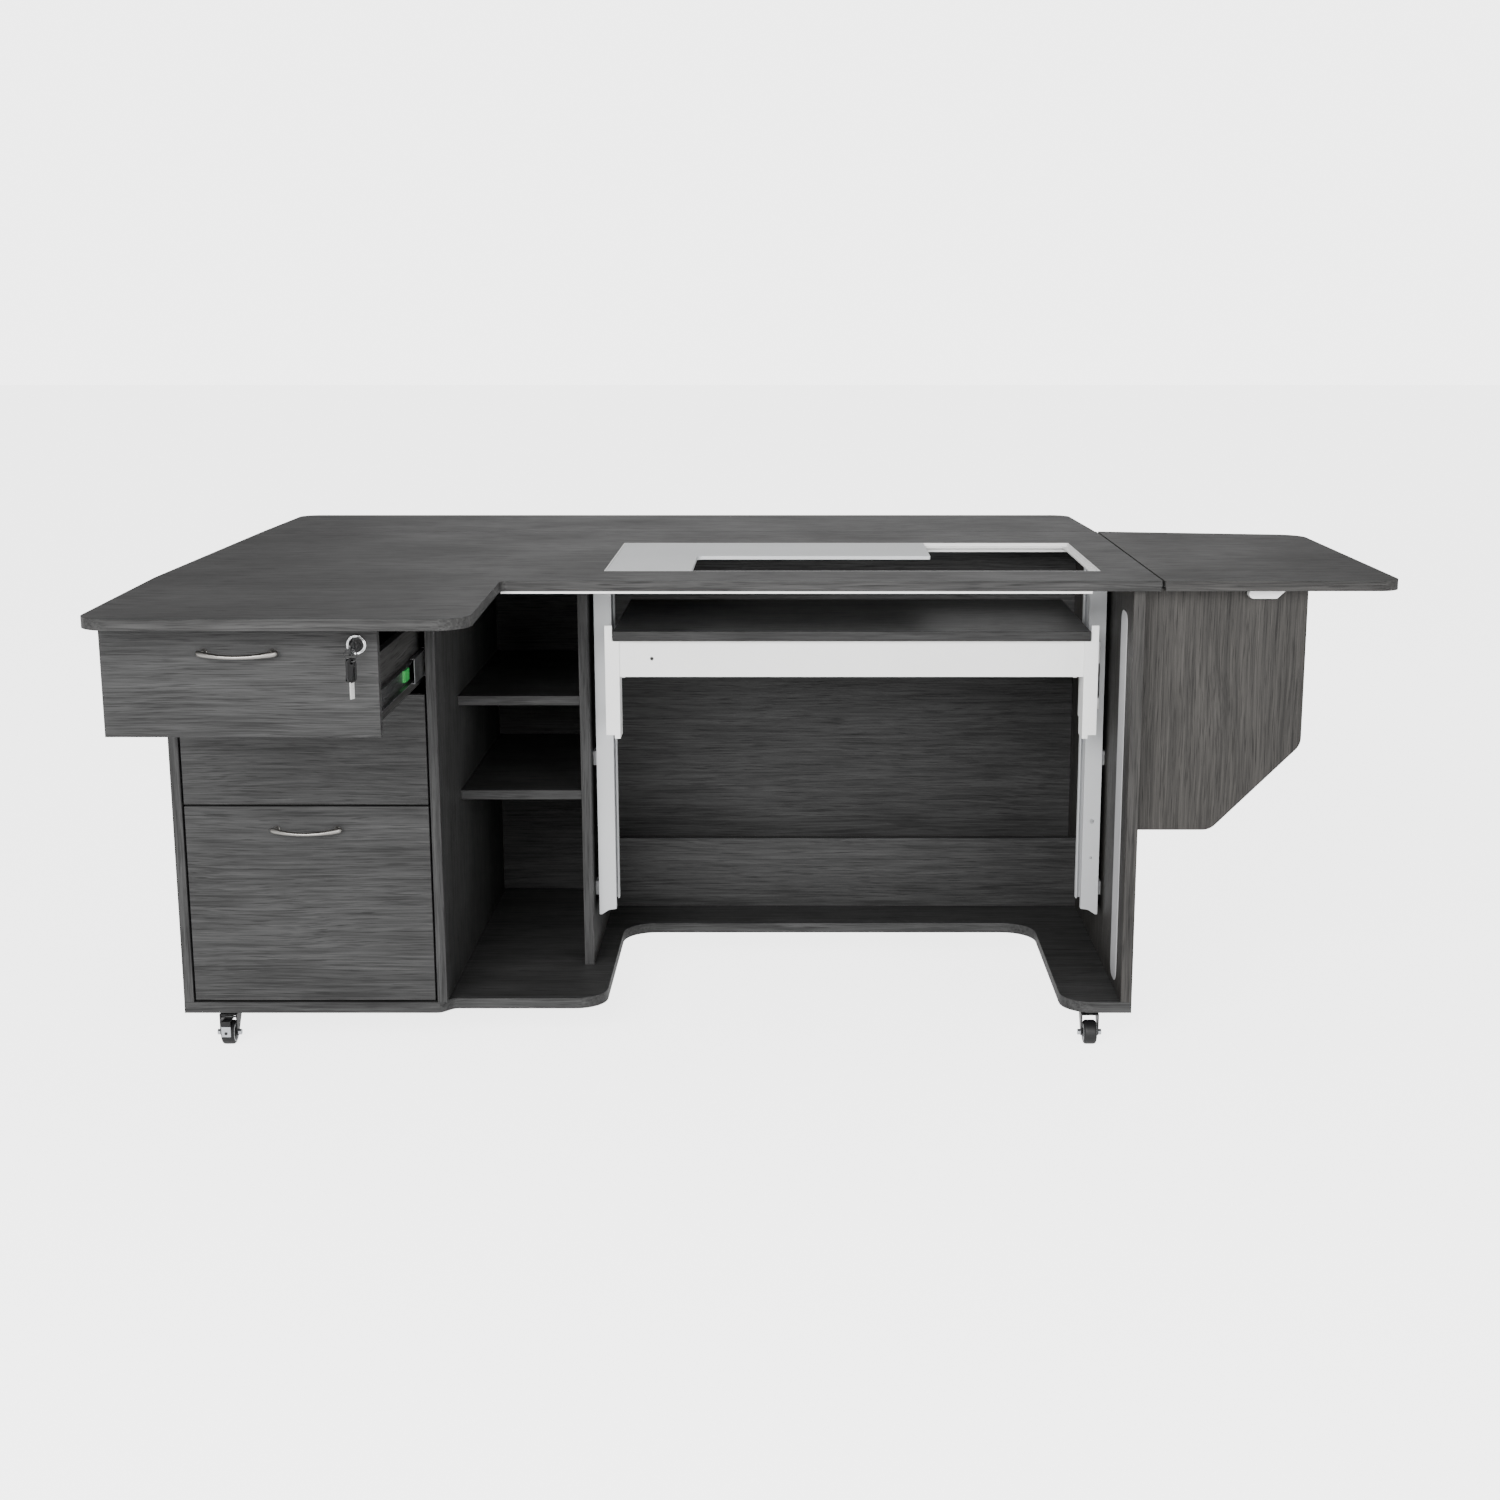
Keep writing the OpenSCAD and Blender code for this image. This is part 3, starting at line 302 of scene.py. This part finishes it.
# %% Bare metals
def metal(name, colour, rough, streak_scale, streak_bump, variation=0.12):
    made, tree, shader, coordinates = start_material(name)
    brushed = noise(tree, scaled(tree, coordinates, streak_scale), 3.0, 0.6)
    specks = handled(tree, coordinates, 60)["Specks"]
    tree.links.new(blended(tree, specks, darker(colour, variation), darker(colour, 0)),
                   shader.inputs["Base Color"])
    tree.links.new(spread(tree, brushed, 0.3, 0.7, rough - 0.05, rough + 0.09),
                   shader.inputs["Roughness"])
    shader.inputs["Metallic"].default_value = 1.0
    bump(tree, shader, brushed, streak_bump, 0.0002)
    return made


nickel = metal("satin_nickel", (0.30, 0.29, 0.275), 0.32, (40, 2500, 2500), 0.10)
zinc = metal("zinc_plate", (0.56, 0.58, 0.61), 0.34, (300, 300, 300), 0.06, 0.2)
# The runners' zinc is darker than the plain zinc: painted shade, as the runners sit in the shade of the
# worktop.
runner_zinc_painted_shade = metal("runner_zinc_painted_shade", (0.26, 0.265, 0.27), 0.30, (2200, 20, 2200), 0.06, 0.15)
chrome = metal("chrome", (0.84, 0.85, 0.86), 0.14, (90, 90, 90), 0.01, 0.04)
key_steel = metal("key_steel", (0.66, 0.66, 0.65), 0.24, (2500, 2500, 60), 0.10)
print("metals made")

# %% [markdown]
# Each CAD node now gets its finish. A loop over a plain table is easier to check than dozens of
# calls, and a node that isn't in the table stops the script, so none stays bare.

# %% Finish of every node
FINISHES = {
    boards["worktop"]: ["main_top"], boards["rear"]: ["rear_leaf"],
    boards["front"]: ["top_drawer_front", "middle_drawer_front", "bottom_drawer_front", "base_board"],
    boards["back"]: ["back_panel", "kick_board", "shelves"],
    boards["upright"]: ["drawer_unit_left_panel", "drawer_unit_right_panel", "shelf_bay_panel"],
    boards["end"]: ["right_end_panel"], boards["gate"]: ["side_gate"],
    boards["leaf"]: ["side_leaf"], boards["lift"]: ["lift_platform"],
    boards["box"]: ["top_drawer_box", "middle_drawer_box", "bottom_drawer_box"],
    white_coat: ["front_stiffener", "lift_frame", "left_lock_pin", "right_lock_pin"],
    grey_coat: ["lift_rails"], strip_coat: ["side_strip"],
    white_plastic: ["opening_liner", "leaf_stop"],
    zinc: ["fixing_screws", "fixed_hinge_plates", "side_leaf_hinge", "gate_hinge",
           "rear_leaf_hinge", "rear_leaf_stays", "front_left_pedal", "rear_right_pedal"],
    runner_zinc_painted_shade: ["runner_outer_members", "top_drawer_runners", "middle_drawer_runners",
                  "bottom_drawer_runners", "top_runner_links", "middle_runner_links",
                  "bottom_runner_links"],
    nickel: ["top_drawer_handle", "middle_drawer_handle", "bottom_drawer_handle"],
    chrome: ["drawer_lock", "gas_strut_rods"], key_black: ["drawer_key", "spare_key"],
    acrylic: ["machine_insert"], black_enamel: ["gas_strut_cylinders"],
    black_nylon: ["caster_plates", "front_left_fork", "front_right_fork", "rear_left_fork",
                  "rear_right_fork"],
    tyre_black: ["front_left_wheel", "front_right_wheel", "rear_left_wheel", "rear_right_wheel"],
}
finish_of = {n: m for m, ns in FINISHES.items() for n in ns}
for name, piece in nodes.items():
    piece.data.materials.clear()
    piece.data.materials.append(finish_of[name])
print(len(finish_of), "nodes have a finish")

# %% [markdown]
# Real boards and pressed steel have no razor edges: an edge band is trimmed to a small round, and a
# round edge is what catches the light. A copy of a CAD node can have that. Its loose triangles are
# merged, flat faces are joined, and a bevel modifier rounds what is left. The copy then stands for
# the node and rides on the same body.

# %% Round the edges of boards and steel
def alone(piece):
    bpy.ops.object.select_all(action="DESELECT")
    piece.select_set(True)
    bpy.context.view_layer.objects.active = piece


mounted = []
EDGE_STEPS = 2
SHARP_FROM = math.radians(40)


def mount(piece, name):
    """The piece stands for that CAD node and rides on its body."""
    mounted.append(piece)
    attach(piece, body_of_node[name])
    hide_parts(name)
    return piece


def rounded_copy(name, width_mm):
    piece = bpy.data.objects.new(name + "_finished", nodes[name].data.copy())
    bpy.context.scene.collection.objects.link(piece)
    alone(piece)
    bpy.ops.object.mode_set(mode="EDIT")
    bpy.ops.mesh.select_all(action="SELECT")
    bpy.ops.mesh.remove_doubles(threshold=0.00001)
    bpy.ops.mesh.dissolve_limited(angle_limit=math.radians(0.5))
    bpy.ops.object.mode_set(mode="OBJECT")
    soft = piece.modifiers.new("edges", "BEVEL")
    soft.width = width_mm / 1000
    soft.segments = EDGE_STEPS
    soft.limit_method = "ANGLE"
    soft.angle_limit = SHARP_FROM
    bpy.ops.object.modifier_apply(modifier=soft.name)
    return mount(piece, name)


EDGE_MM = {"lift_frame": 0.6, "rear_leaf_stays": 0.8, "front_stiffener": 0.5, "leaf_stop": 0.8,
           "machine_insert": 0.6, "lift_rails": 0.5, "side_strip": 0.4, "opening_liner": 0.4,
           "left_lock_pin": 0.4, "right_lock_pin": 0.4, "gas_strut_cylinders": 0.8,
           "caster_plates": 0.4, "gate_hinge": 0.2, "top_runner_links": 0.3,
           "middle_runner_links": 0.3, "bottom_runner_links": 0.3, "runner_outer_members": 0.3}
BOARD_EDGE_MM = 0.9
for name in [n for n, m in finish_of.items() if m in boards.values()]:
    EDGE_MM[name] = BOARD_EDGE_MM
for name, width_mm in EDGE_MM.items():
    rounded_copy(name, width_mm)
print(len(EDGE_MM), "nodes have rounded edges")

# %% [markdown]
# Some parts join two materials, such as a steel fork with a bright nut, or a runner with a green
# clip. One mesh can hold several materials, and each face says which one it wears. The faces are
# found by their place, so a helper asks a small test about the middle of every face.

# %% Forks, runners and screws
def paint(piece, finish, wanted):
    piece.data.materials.append(finish)
    index = len(piece.data.materials) - 1
    count = 0
    for face in piece.data.polygons:
        middle = (face.center - at(0, 0, 0)) * 1000
        if wanted(middle, face):
            face.material_index = index
            count += 1
    print(piece.name, "has", count, "faces in", finish.name)


CASTERS = {"front_left": (63, 47), "front_right": (1477, 47),
           "rear_left": (63, 653), "rear_right": (1477, 653)}
NUT_FROM = 14.6
for corner_name, (x, y) in CASTERS.items():
    fork = rounded_copy(corner_name + "_fork", 0.6)
    paint(fork, zinc, lambda p, f, x=x: abs(p.x - x) > NUT_FROM)

CLIP_Y, CLIP_LENGTH = {"top": -125.5, "middle": 222.5, "bottom": 222.5}, 36
for drawer, y in CLIP_Y.items():
    runners = rounded_copy(drawer + "_drawer_runners", 0.4)
    paint(runners, clip_green, lambda p, f, y=y, mesh=runners.data: all(
        y < (mesh.vertices[v].co.y - corner.y) * 1000 < y + CLIP_LENGTH for v in f.vertices))

# %% [markdown]
# A screw head is a small dome with a socket. The heads are already there as plain discs, so the
# flat face of each disc is inset twice, and the second inset sinks it. Selecting faces by their
# area and their number of corners finds all the heads at once, whichever way they point.

# %% Sink a socket into every screw head
def pick_faces(piece, wanted):
    alone(piece)
    bpy.ops.object.mode_set(mode="EDIT")
    bpy.ops.mesh.select_mode(type="FACE")
    bpy.ops.mesh.select_all(action="DESELECT")
    bpy.ops.object.mode_set(mode="OBJECT")
    for face in piece.data.polygons:
        face.select = bool(wanted((face.center - at(0, 0, 0)) * 1000, face))
    picked = sum(face.select for face in piece.data.polygons)
    bpy.ops.object.mode_set(mode="EDIT")
    return picked


HEAD_AREA, HEAD_CORNERS = 24e-6, 8
SOCKET_RIM, SOCKET_SLOPE, SOCKET_DEPTH = 0.0013, 0.0002, 0.0008
screws = rounded_copy("fixing_screws", 0.5)
heads = pick_faces(screws, lambda p, f: f.area > HEAD_AREA and len(f.vertices) > HEAD_CORNERS)
bpy.ops.mesh.inset(thickness=SOCKET_RIM, use_individual=True)
bpy.ops.mesh.inset(thickness=SOCKET_SLOPE, depth=-SOCKET_DEPTH, use_individual=True)
bpy.ops.object.mode_set(mode="OBJECT")
print(heads, "screw heads have a socket")

# %% [markdown]
# Lock rings, handle posts and wheels are turned on a lathe or moulded as if they were. Such a shape
# grows from one circle: it is extruded a little way along the axis and scaled, again and again,
# through a list of rings. A ring list that ends where it began makes a tube, whose seam is merged.

# %% A helper that turns a shape from rings
def turned(name, place, axis, rings, facets=32, tube=False):
    axis = Vector(axis)
    bpy.ops.object.select_all(action="DESELECT")
    bpy.ops.mesh.primitive_circle_add(
        vertices=facets, radius=rings[0][1] / 1000, fill_type="NOTHING" if tube else "NGON",
        location=place + axis * rings[0][0] / 1000,
        rotation=axis.to_track_quat("Z", "Y").to_euler())
    bpy.ops.object.transform_apply(location=True, rotation=True, scale=True)
    piece = bpy.context.object
    piece.name = name
    bpy.ops.object.mode_set(mode="EDIT")
    bpy.ops.mesh.select_mode(type="VERT")
    bpy.ops.mesh.select_all(action="SELECT")
    for (before, old), (along, radius) in zip(rings, rings[1:]):
        bpy.ops.mesh.extrude_region_move(
            TRANSFORM_OT_translate={"value": axis * (along - before) / 1000})
        bpy.ops.transform.resize(value=(radius / old,) * 3,
                                 center_override=place + axis * along / 1000)
    bpy.ops.mesh.select_all(action="SELECT")
    bpy.ops.mesh.remove_doubles(threshold=0.000005)
    bpy.ops.mesh.normals_make_consistent(inside=False)
    bpy.ops.object.mode_set(mode="OBJECT")
    return piece


def joined(name, pieces):
    bpy.ops.object.select_all(action="DESELECT")
    for piece in pieces:
        piece.select_set(True)
    bpy.context.view_layer.objects.active = pieces[0]
    bpy.ops.object.join()
    pieces[0].name = name
    return pieces[0]


def copy_at(piece, name, shift):
    copied = bpy.data.objects.new(name, piece.data.copy())
    bpy.context.scene.collection.objects.link(copied)
    copied.data.transform(Matrix.Translation(shift))
    return copied


def wear(piece, finish):
    piece.data.materials.clear()
    piece.data.materials.append(finish)
    return piece

# %% [markdown]
# The wheels are nylon with a soft tread. In section a wheel has a hub, a sunk web and a rounded
# tread, so its rings go out from the hub, into the web, up over the tread, and back down the other
# side. One wheel is turned and three are copies.

# %% Wheels
HALF_WHEEL = [(-11, 3.5), (-11, 6.6), (-10.6, 7.0), (-8.2, 7.2), (-8, 7.7), (-8, 12.6), (-8.3, 13.1),
              (-10.7, 13.4), (-11, 13.8), (-11, 15.4), (-10.7, 15.7), (-10.5, 16.6), (-9.6, 18.4),
              (-8, 19.5), (-6, 20)]
WHEEL = HALF_WHEEL + [(-along, radius) for along, radius in reversed(HALF_WHEEL)]
TRAIL, WHEEL_R = 16, 20
x, y = CASTERS["front_left"]
hub = at(x, y - TRAIL, WHEEL_R)
wheel = wear(turned("front_left_wheel_finished", hub, (1, 0, 0), WHEEL, 48), tyre_black)
RIM_FROM, RIM_TO = 12.9, 15.6
paint(wheel, rim_grey,
      lambda p, f: RIM_FROM < math.hypot(p.y - (y - TRAIL), p.z - WHEEL_R) < RIM_TO)
for corner_name, (to_x, to_y) in CASTERS.items():
    if corner_name != "front_left":
        mount(copy_at(wheel, corner_name + "_wheel_finished", at(to_x, to_y, 0) - at(x, y, 0)),
              corner_name + "_wheel")
mount(wheel, "front_left_wheel")
print("wheel has", len(wheel.data.polygons), "faces")

# %% [markdown]
# Each brake pedal is a bent steel plate with a small rubber button, and its arm is blackened. The
# copy of the CAD plate is cut by a level plane first, so that the two finishes can meet there.

# %% Brake pedals
BUTTON = [(-0.3, 2.6), (0.5, 2.6), (0.9, 2.3), (1.1, 1.6)]
BLACK_ABOVE = 36
BUTTON_AHEAD, BUTTON_Z = 40, 25
for corner_name in ("front_left", "rear_right"):
    x, y = CASTERS[corner_name]
    button = turned("button", at(x, y - BUTTON_AHEAD, BUTTON_Z), (0, -1, 0), BUTTON, 24)
    wear(button, black_nylon)
    plate = rounded_copy(corner_name + "_pedal", 0.4)
    alone(plate)
    bpy.ops.object.mode_set(mode="EDIT")
    bpy.ops.mesh.select_all(action="SELECT")
    bpy.ops.mesh.bisect(plane_co=at(x, y, BLACK_ABOVE), plane_no=(0, 0, 1))
    bpy.ops.object.mode_set(mode="OBJECT")
    paint(plate, black_nylon, lambda p, f: p.z > BLACK_ABOVE)
    plate = joined(corner_name + "_pedal_finished", [plate, button])
    print(plate.name, "has", len(plate.data.polygons), "faces")

# %% [markdown]
# A bow handle is cast: full and round at its ends, slimmer in the middle, and bent forwards and a
# little down in an arc. A circle is extruded from section to section along the arc, and each section
# is scaled to its own depth and height. Two turned posts join it to the drawer.

# %% Drawer handles
HANDLE_Z = {"top": 713.5, "middle": 552.5, "bottom": 371.5}
FRONT_Y = {"top": -348, "middle": 0, "bottom": 0}
HANDLE_X, POST_X, BOW_R, FOOT, SAG = 214.25, 48, 127.5, 10, 12
TILT = math.radians(18)
# Each section of the bow: its place along X, half its depth and half its height
half_bow = [(-57.4, 1.0, 1.1), (-57, 2.3, 2.5), (-55.8, 3.6, 3.8), (-53, 4.4, 4.6), (-48, 4.4, 4.6),
            (-42, 4.1, 4.2), (-34, 3.9, 3.8), (-24, 3.8, 3.4), (-12, 3.7, 3.1), (0, 3.6, 3.0)]
bow = half_bow + [(-x, depth, tall) for x, depth, tall in reversed(half_bow[:-1])]


def section(x):
    out = SAG - BOW_R + math.sqrt(BOW_R ** 2 - x * x)
    return at(HANDLE_X + x, -FOOT - out * math.cos(TILT), HANDLE_Z["middle"] - out * math.sin(TILT))


bpy.ops.object.select_all(action="DESELECT")
bpy.ops.mesh.primitive_circle_add(vertices=24, radius=0.001, fill_type="NGON",
                                  location=section(bow[0][0]), rotation=(0, math.radians(90), 0))
bpy.ops.object.transform_apply(location=True, rotation=True, scale=True)
handle = bpy.context.object
bpy.ops.object.mode_set(mode="EDIT")
bpy.ops.mesh.select_all(action="SELECT")
bpy.ops.transform.resize(value=(1, bow[0][1], bow[0][2]), center_override=section(bow[0][0]))
for (x0, d0, t0), (x1, d1, t1) in zip(bow, bow[1:]):
    bpy.ops.mesh.extrude_region_move(TRANSFORM_OT_translate={"value": section(x1) - section(x0)})
    bpy.ops.transform.resize(value=(1, d1 / d0, t1 / t0), center_override=section(x1))
bpy.ops.mesh.select_all(action="SELECT")
bpy.ops.mesh.normals_make_consistent(inside=False)
bpy.ops.object.mode_set(mode="OBJECT")
POST = [(-0.2, 5.2), (0.7, 5.2), (1.3, 4.9), (1.8, 4.1), (10.5, 3.9)]
posts = [turned("post", at(HANDLE_X + s * POST_X, 0, HANDLE_Z["middle"]), (0, -1, 0), POST, 24)
         for s in (-1, 1)]
handle = wear(joined("middle_handle_finished", [handle, *posts]), nickel)
for drawer in ("top", "bottom"):
    shift = Vector((0, FRONT_Y[drawer], HANDLE_Z[drawer] - HANDLE_Z["middle"])) / 1000
    mount(copy_at(handle, drawer + "_handle_finished", shift), drawer + "_drawer_handle")
mount(handle, "middle_drawer_handle")
print("handle has", len(handle.data.polygons), "faces")

# %% [markdown]
# The lock shows a thin chrome ring round a black face, with the plug in the middle. Ring and face
# are tubes, so the plug of the key can turn inside them.

# %% Lock
LOCK = at(380, -348, 725)
RING = [(0, 14), (2.0, 14), (2.8, 13.6), (3.0, 13.1), (2.8, 12.6), (1.4, 12.3), (1.4, 11.5),
        (2.3, 11.3), (2.5, 10.9), (2.3, 10.5), (1.2, 10.3), (0, 10.3), (0, 14)]
FACE = [(0, 10.3), (1.6, 10.3), (1.9, 9.6), (1.9, 6.7), (-22.4, 6.7), (-22.4, 9), (0, 9), (0, 10.3)]
ring = wear(turned("ring", LOCK, (0, -1, 0), RING, 48, tube=True), chrome)
face = wear(turned("face", LOCK, (0, -1, 0), FACE, 48, tube=True), black_nylon)
lock = mount(joined("drawer_lock_finished", [ring, face]), "drawer_lock")
print("lock has", len(lock.data.polygons), "faces")

# %% [markdown]
# A furniture key has a steel blade moulded into a plastic head. The CAD copies give the outlines,
# and each flat side of a head gets a shallow panel, as moulds leave, from an inset and a small push
# inwards. Steel and plastic are then painted by place.

# %% Keys
HEAD_SIDE_AREA = 1.2e-4
PANEL_RIM, PANEL_SLOPE, PANEL_DEPTH = 0.0016, 0.0003, 0.0004


def panel_head(piece, low, high):
    count = pick_faces(piece, lambda p, f: f.area > HEAD_SIDE_AREA and low < p.z < high)
    bpy.ops.mesh.inset(thickness=PANEL_RIM)
    bpy.ops.mesh.inset(thickness=PANEL_SLOPE, depth=-PANEL_DEPTH)
    bpy.ops.object.mode_set(mode="OBJECT")
    return count


lock_z = LOCK.z * 1000
HEAD_HALF, SPARE_HEAD_FROM = 12, 46
BLADE_Y, PLUG_FROM_Y = (-361.9, -351.6), -346
key = rounded_copy("drawer_key", 0.6)
panels = panel_head(key, lock_z - HEAD_HALF, lock_z + HEAD_HALF)
paint(key, key_steel, lambda p, f: BLADE_Y[0] < p.y < BLADE_Y[1] or p.y > PLUG_FROM_Y)
spare = rounded_copy("spare_key", 0.5)
panels += panel_head(spare, lock_z - SPARE_HEAD_FROM, lock_z - HEAD_HALF)
print(panels, "panels on the keys' heads")
paint(spare, key_steel, lambda p, f: p.z < lock_z - SPARE_HEAD_FROM - 0.2)
RING_X, RING_Y, RING_Z, RING_R = 380, -389, lock_z - 9, 9
paint(spare, black_enamel, lambda p, f: abs(p.y - RING_Y) < 1 and
      abs(math.hypot(p.x - RING_X, p.z - RING_Z) - RING_R) < 1)

# %% [markdown]
# Rounded edges shade smoothly, but a wide board must not: light would bend over it as if it were
# pillowed. The weighted normal modifier lets the widest face at each corner decide, so the boards
# stay flat up to their edges and only the edges turn the light.

# %% Shade the finished pieces
SMOOTH_BELOW = 46
for piece in mounted:
    alone(piece)
    bpy.ops.object.shade_smooth_by_angle(angle=math.radians(SMOOTH_BELOW))
    level = piece.modifiers.new("flat faces stay flat", "WEIGHTED_NORMAL")
    level.keep_sharp = True
    bpy.ops.object.modifier_apply(modifier=level.name)
print(len(mounted), "finished pieces are shaded")

# %% [markdown]
# The scene around the cabinet is plain: a pale floor that reaches far behind it, a bright sky, and
# large soft lights in front and above, as in a product studio. Floor and sky look brighter to the
# camera than they light the cabinet, so the backdrop is nearly white and the dark boards stay dark.

# %% Floor, light and camera
def glow(tree, to_others, to_camera):
    seen = node(tree, "LightPath").outputs["Is Camera Ray"]
    return spread(tree, seen, 0, 1, to_others, to_camera)


bpy.ops.object.select_all(action="DESELECT")
bpy.ops.mesh.primitive_plane_add(size=60, location=(0, 0, 0))
floor = bpy.context.object
floor.name = "studio_floor"
floor_paint, floor_tree, floor_shader, _ = start_material("floor_paint")
floor_shader.inputs["Base Color"].default_value = (0.85, 0.85, 0.85, 1)
floor_shader.inputs["Roughness"].default_value = 0.6
floor_shader.inputs["Specular IOR Level"].default_value = 0.1
floor_shader.inputs["Emission Color"].default_value = (1, 1, 1, 1)
floor_tree.links.new(glow(floor_tree, 0.8, 3.4), floor_shader.inputs["Emission Strength"])
floor.data.materials.append(floor_paint)
floor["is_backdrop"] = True

world = bpy.data.worlds.new("studio")
bpy.context.scene.world = world
world.use_nodes = True
sky = world.node_tree.nodes["Background"]
sky.inputs["Color"].default_value = (1, 1, 1, 1)
world.node_tree.links.new(glow(world.node_tree, 0.5, 4.3), sky.inputs["Strength"])


def soft_light(name, location, target, size, power):
    data = bpy.data.lights.new(name, "AREA")
    data.shape = "RECTANGLE"
    data.size, data.size_y = size
    data.energy = power
    lamp = bpy.data.objects.new(name, data)
    bpy.context.scene.collection.objects.link(lamp)
    lamp.location = location
    lamp.rotation_euler = (Vector(target) - Vector(location)).to_track_quat("-Z", "Y").to_euler()


soft_light("key_light", (-1.5, -4.8, 2.5), (0, 0, 0.5), (3.2, 2.0), 330)
soft_light("fill_light", (2.6, -4.6, 1.5), (0.2, 0, 0.4), (2.6, 2.0), 130)
soft_light("back_light", (0.2, 3.6, 2.2), (0, 0, 0.6), (3.0, 1.6), 14)

camera_data = bpy.data.cameras.new("camera")
camera = bpy.data.objects.new("camera", camera_data)
bpy.context.scene.collection.objects.link(camera)
camera.location = (0.0323, -3.527, 1.1838)
camera.rotation_euler = (math.radians(78.02), 0, 0)
camera_data.sensor_width = 36
camera_data.lens = 49.9
camera_data.shift_x = -0.03
bpy.context.scene.camera = camera

# %% Print the visual box
low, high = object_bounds()
print("visual box", [round(v, 4) for v in (*low, *high)])
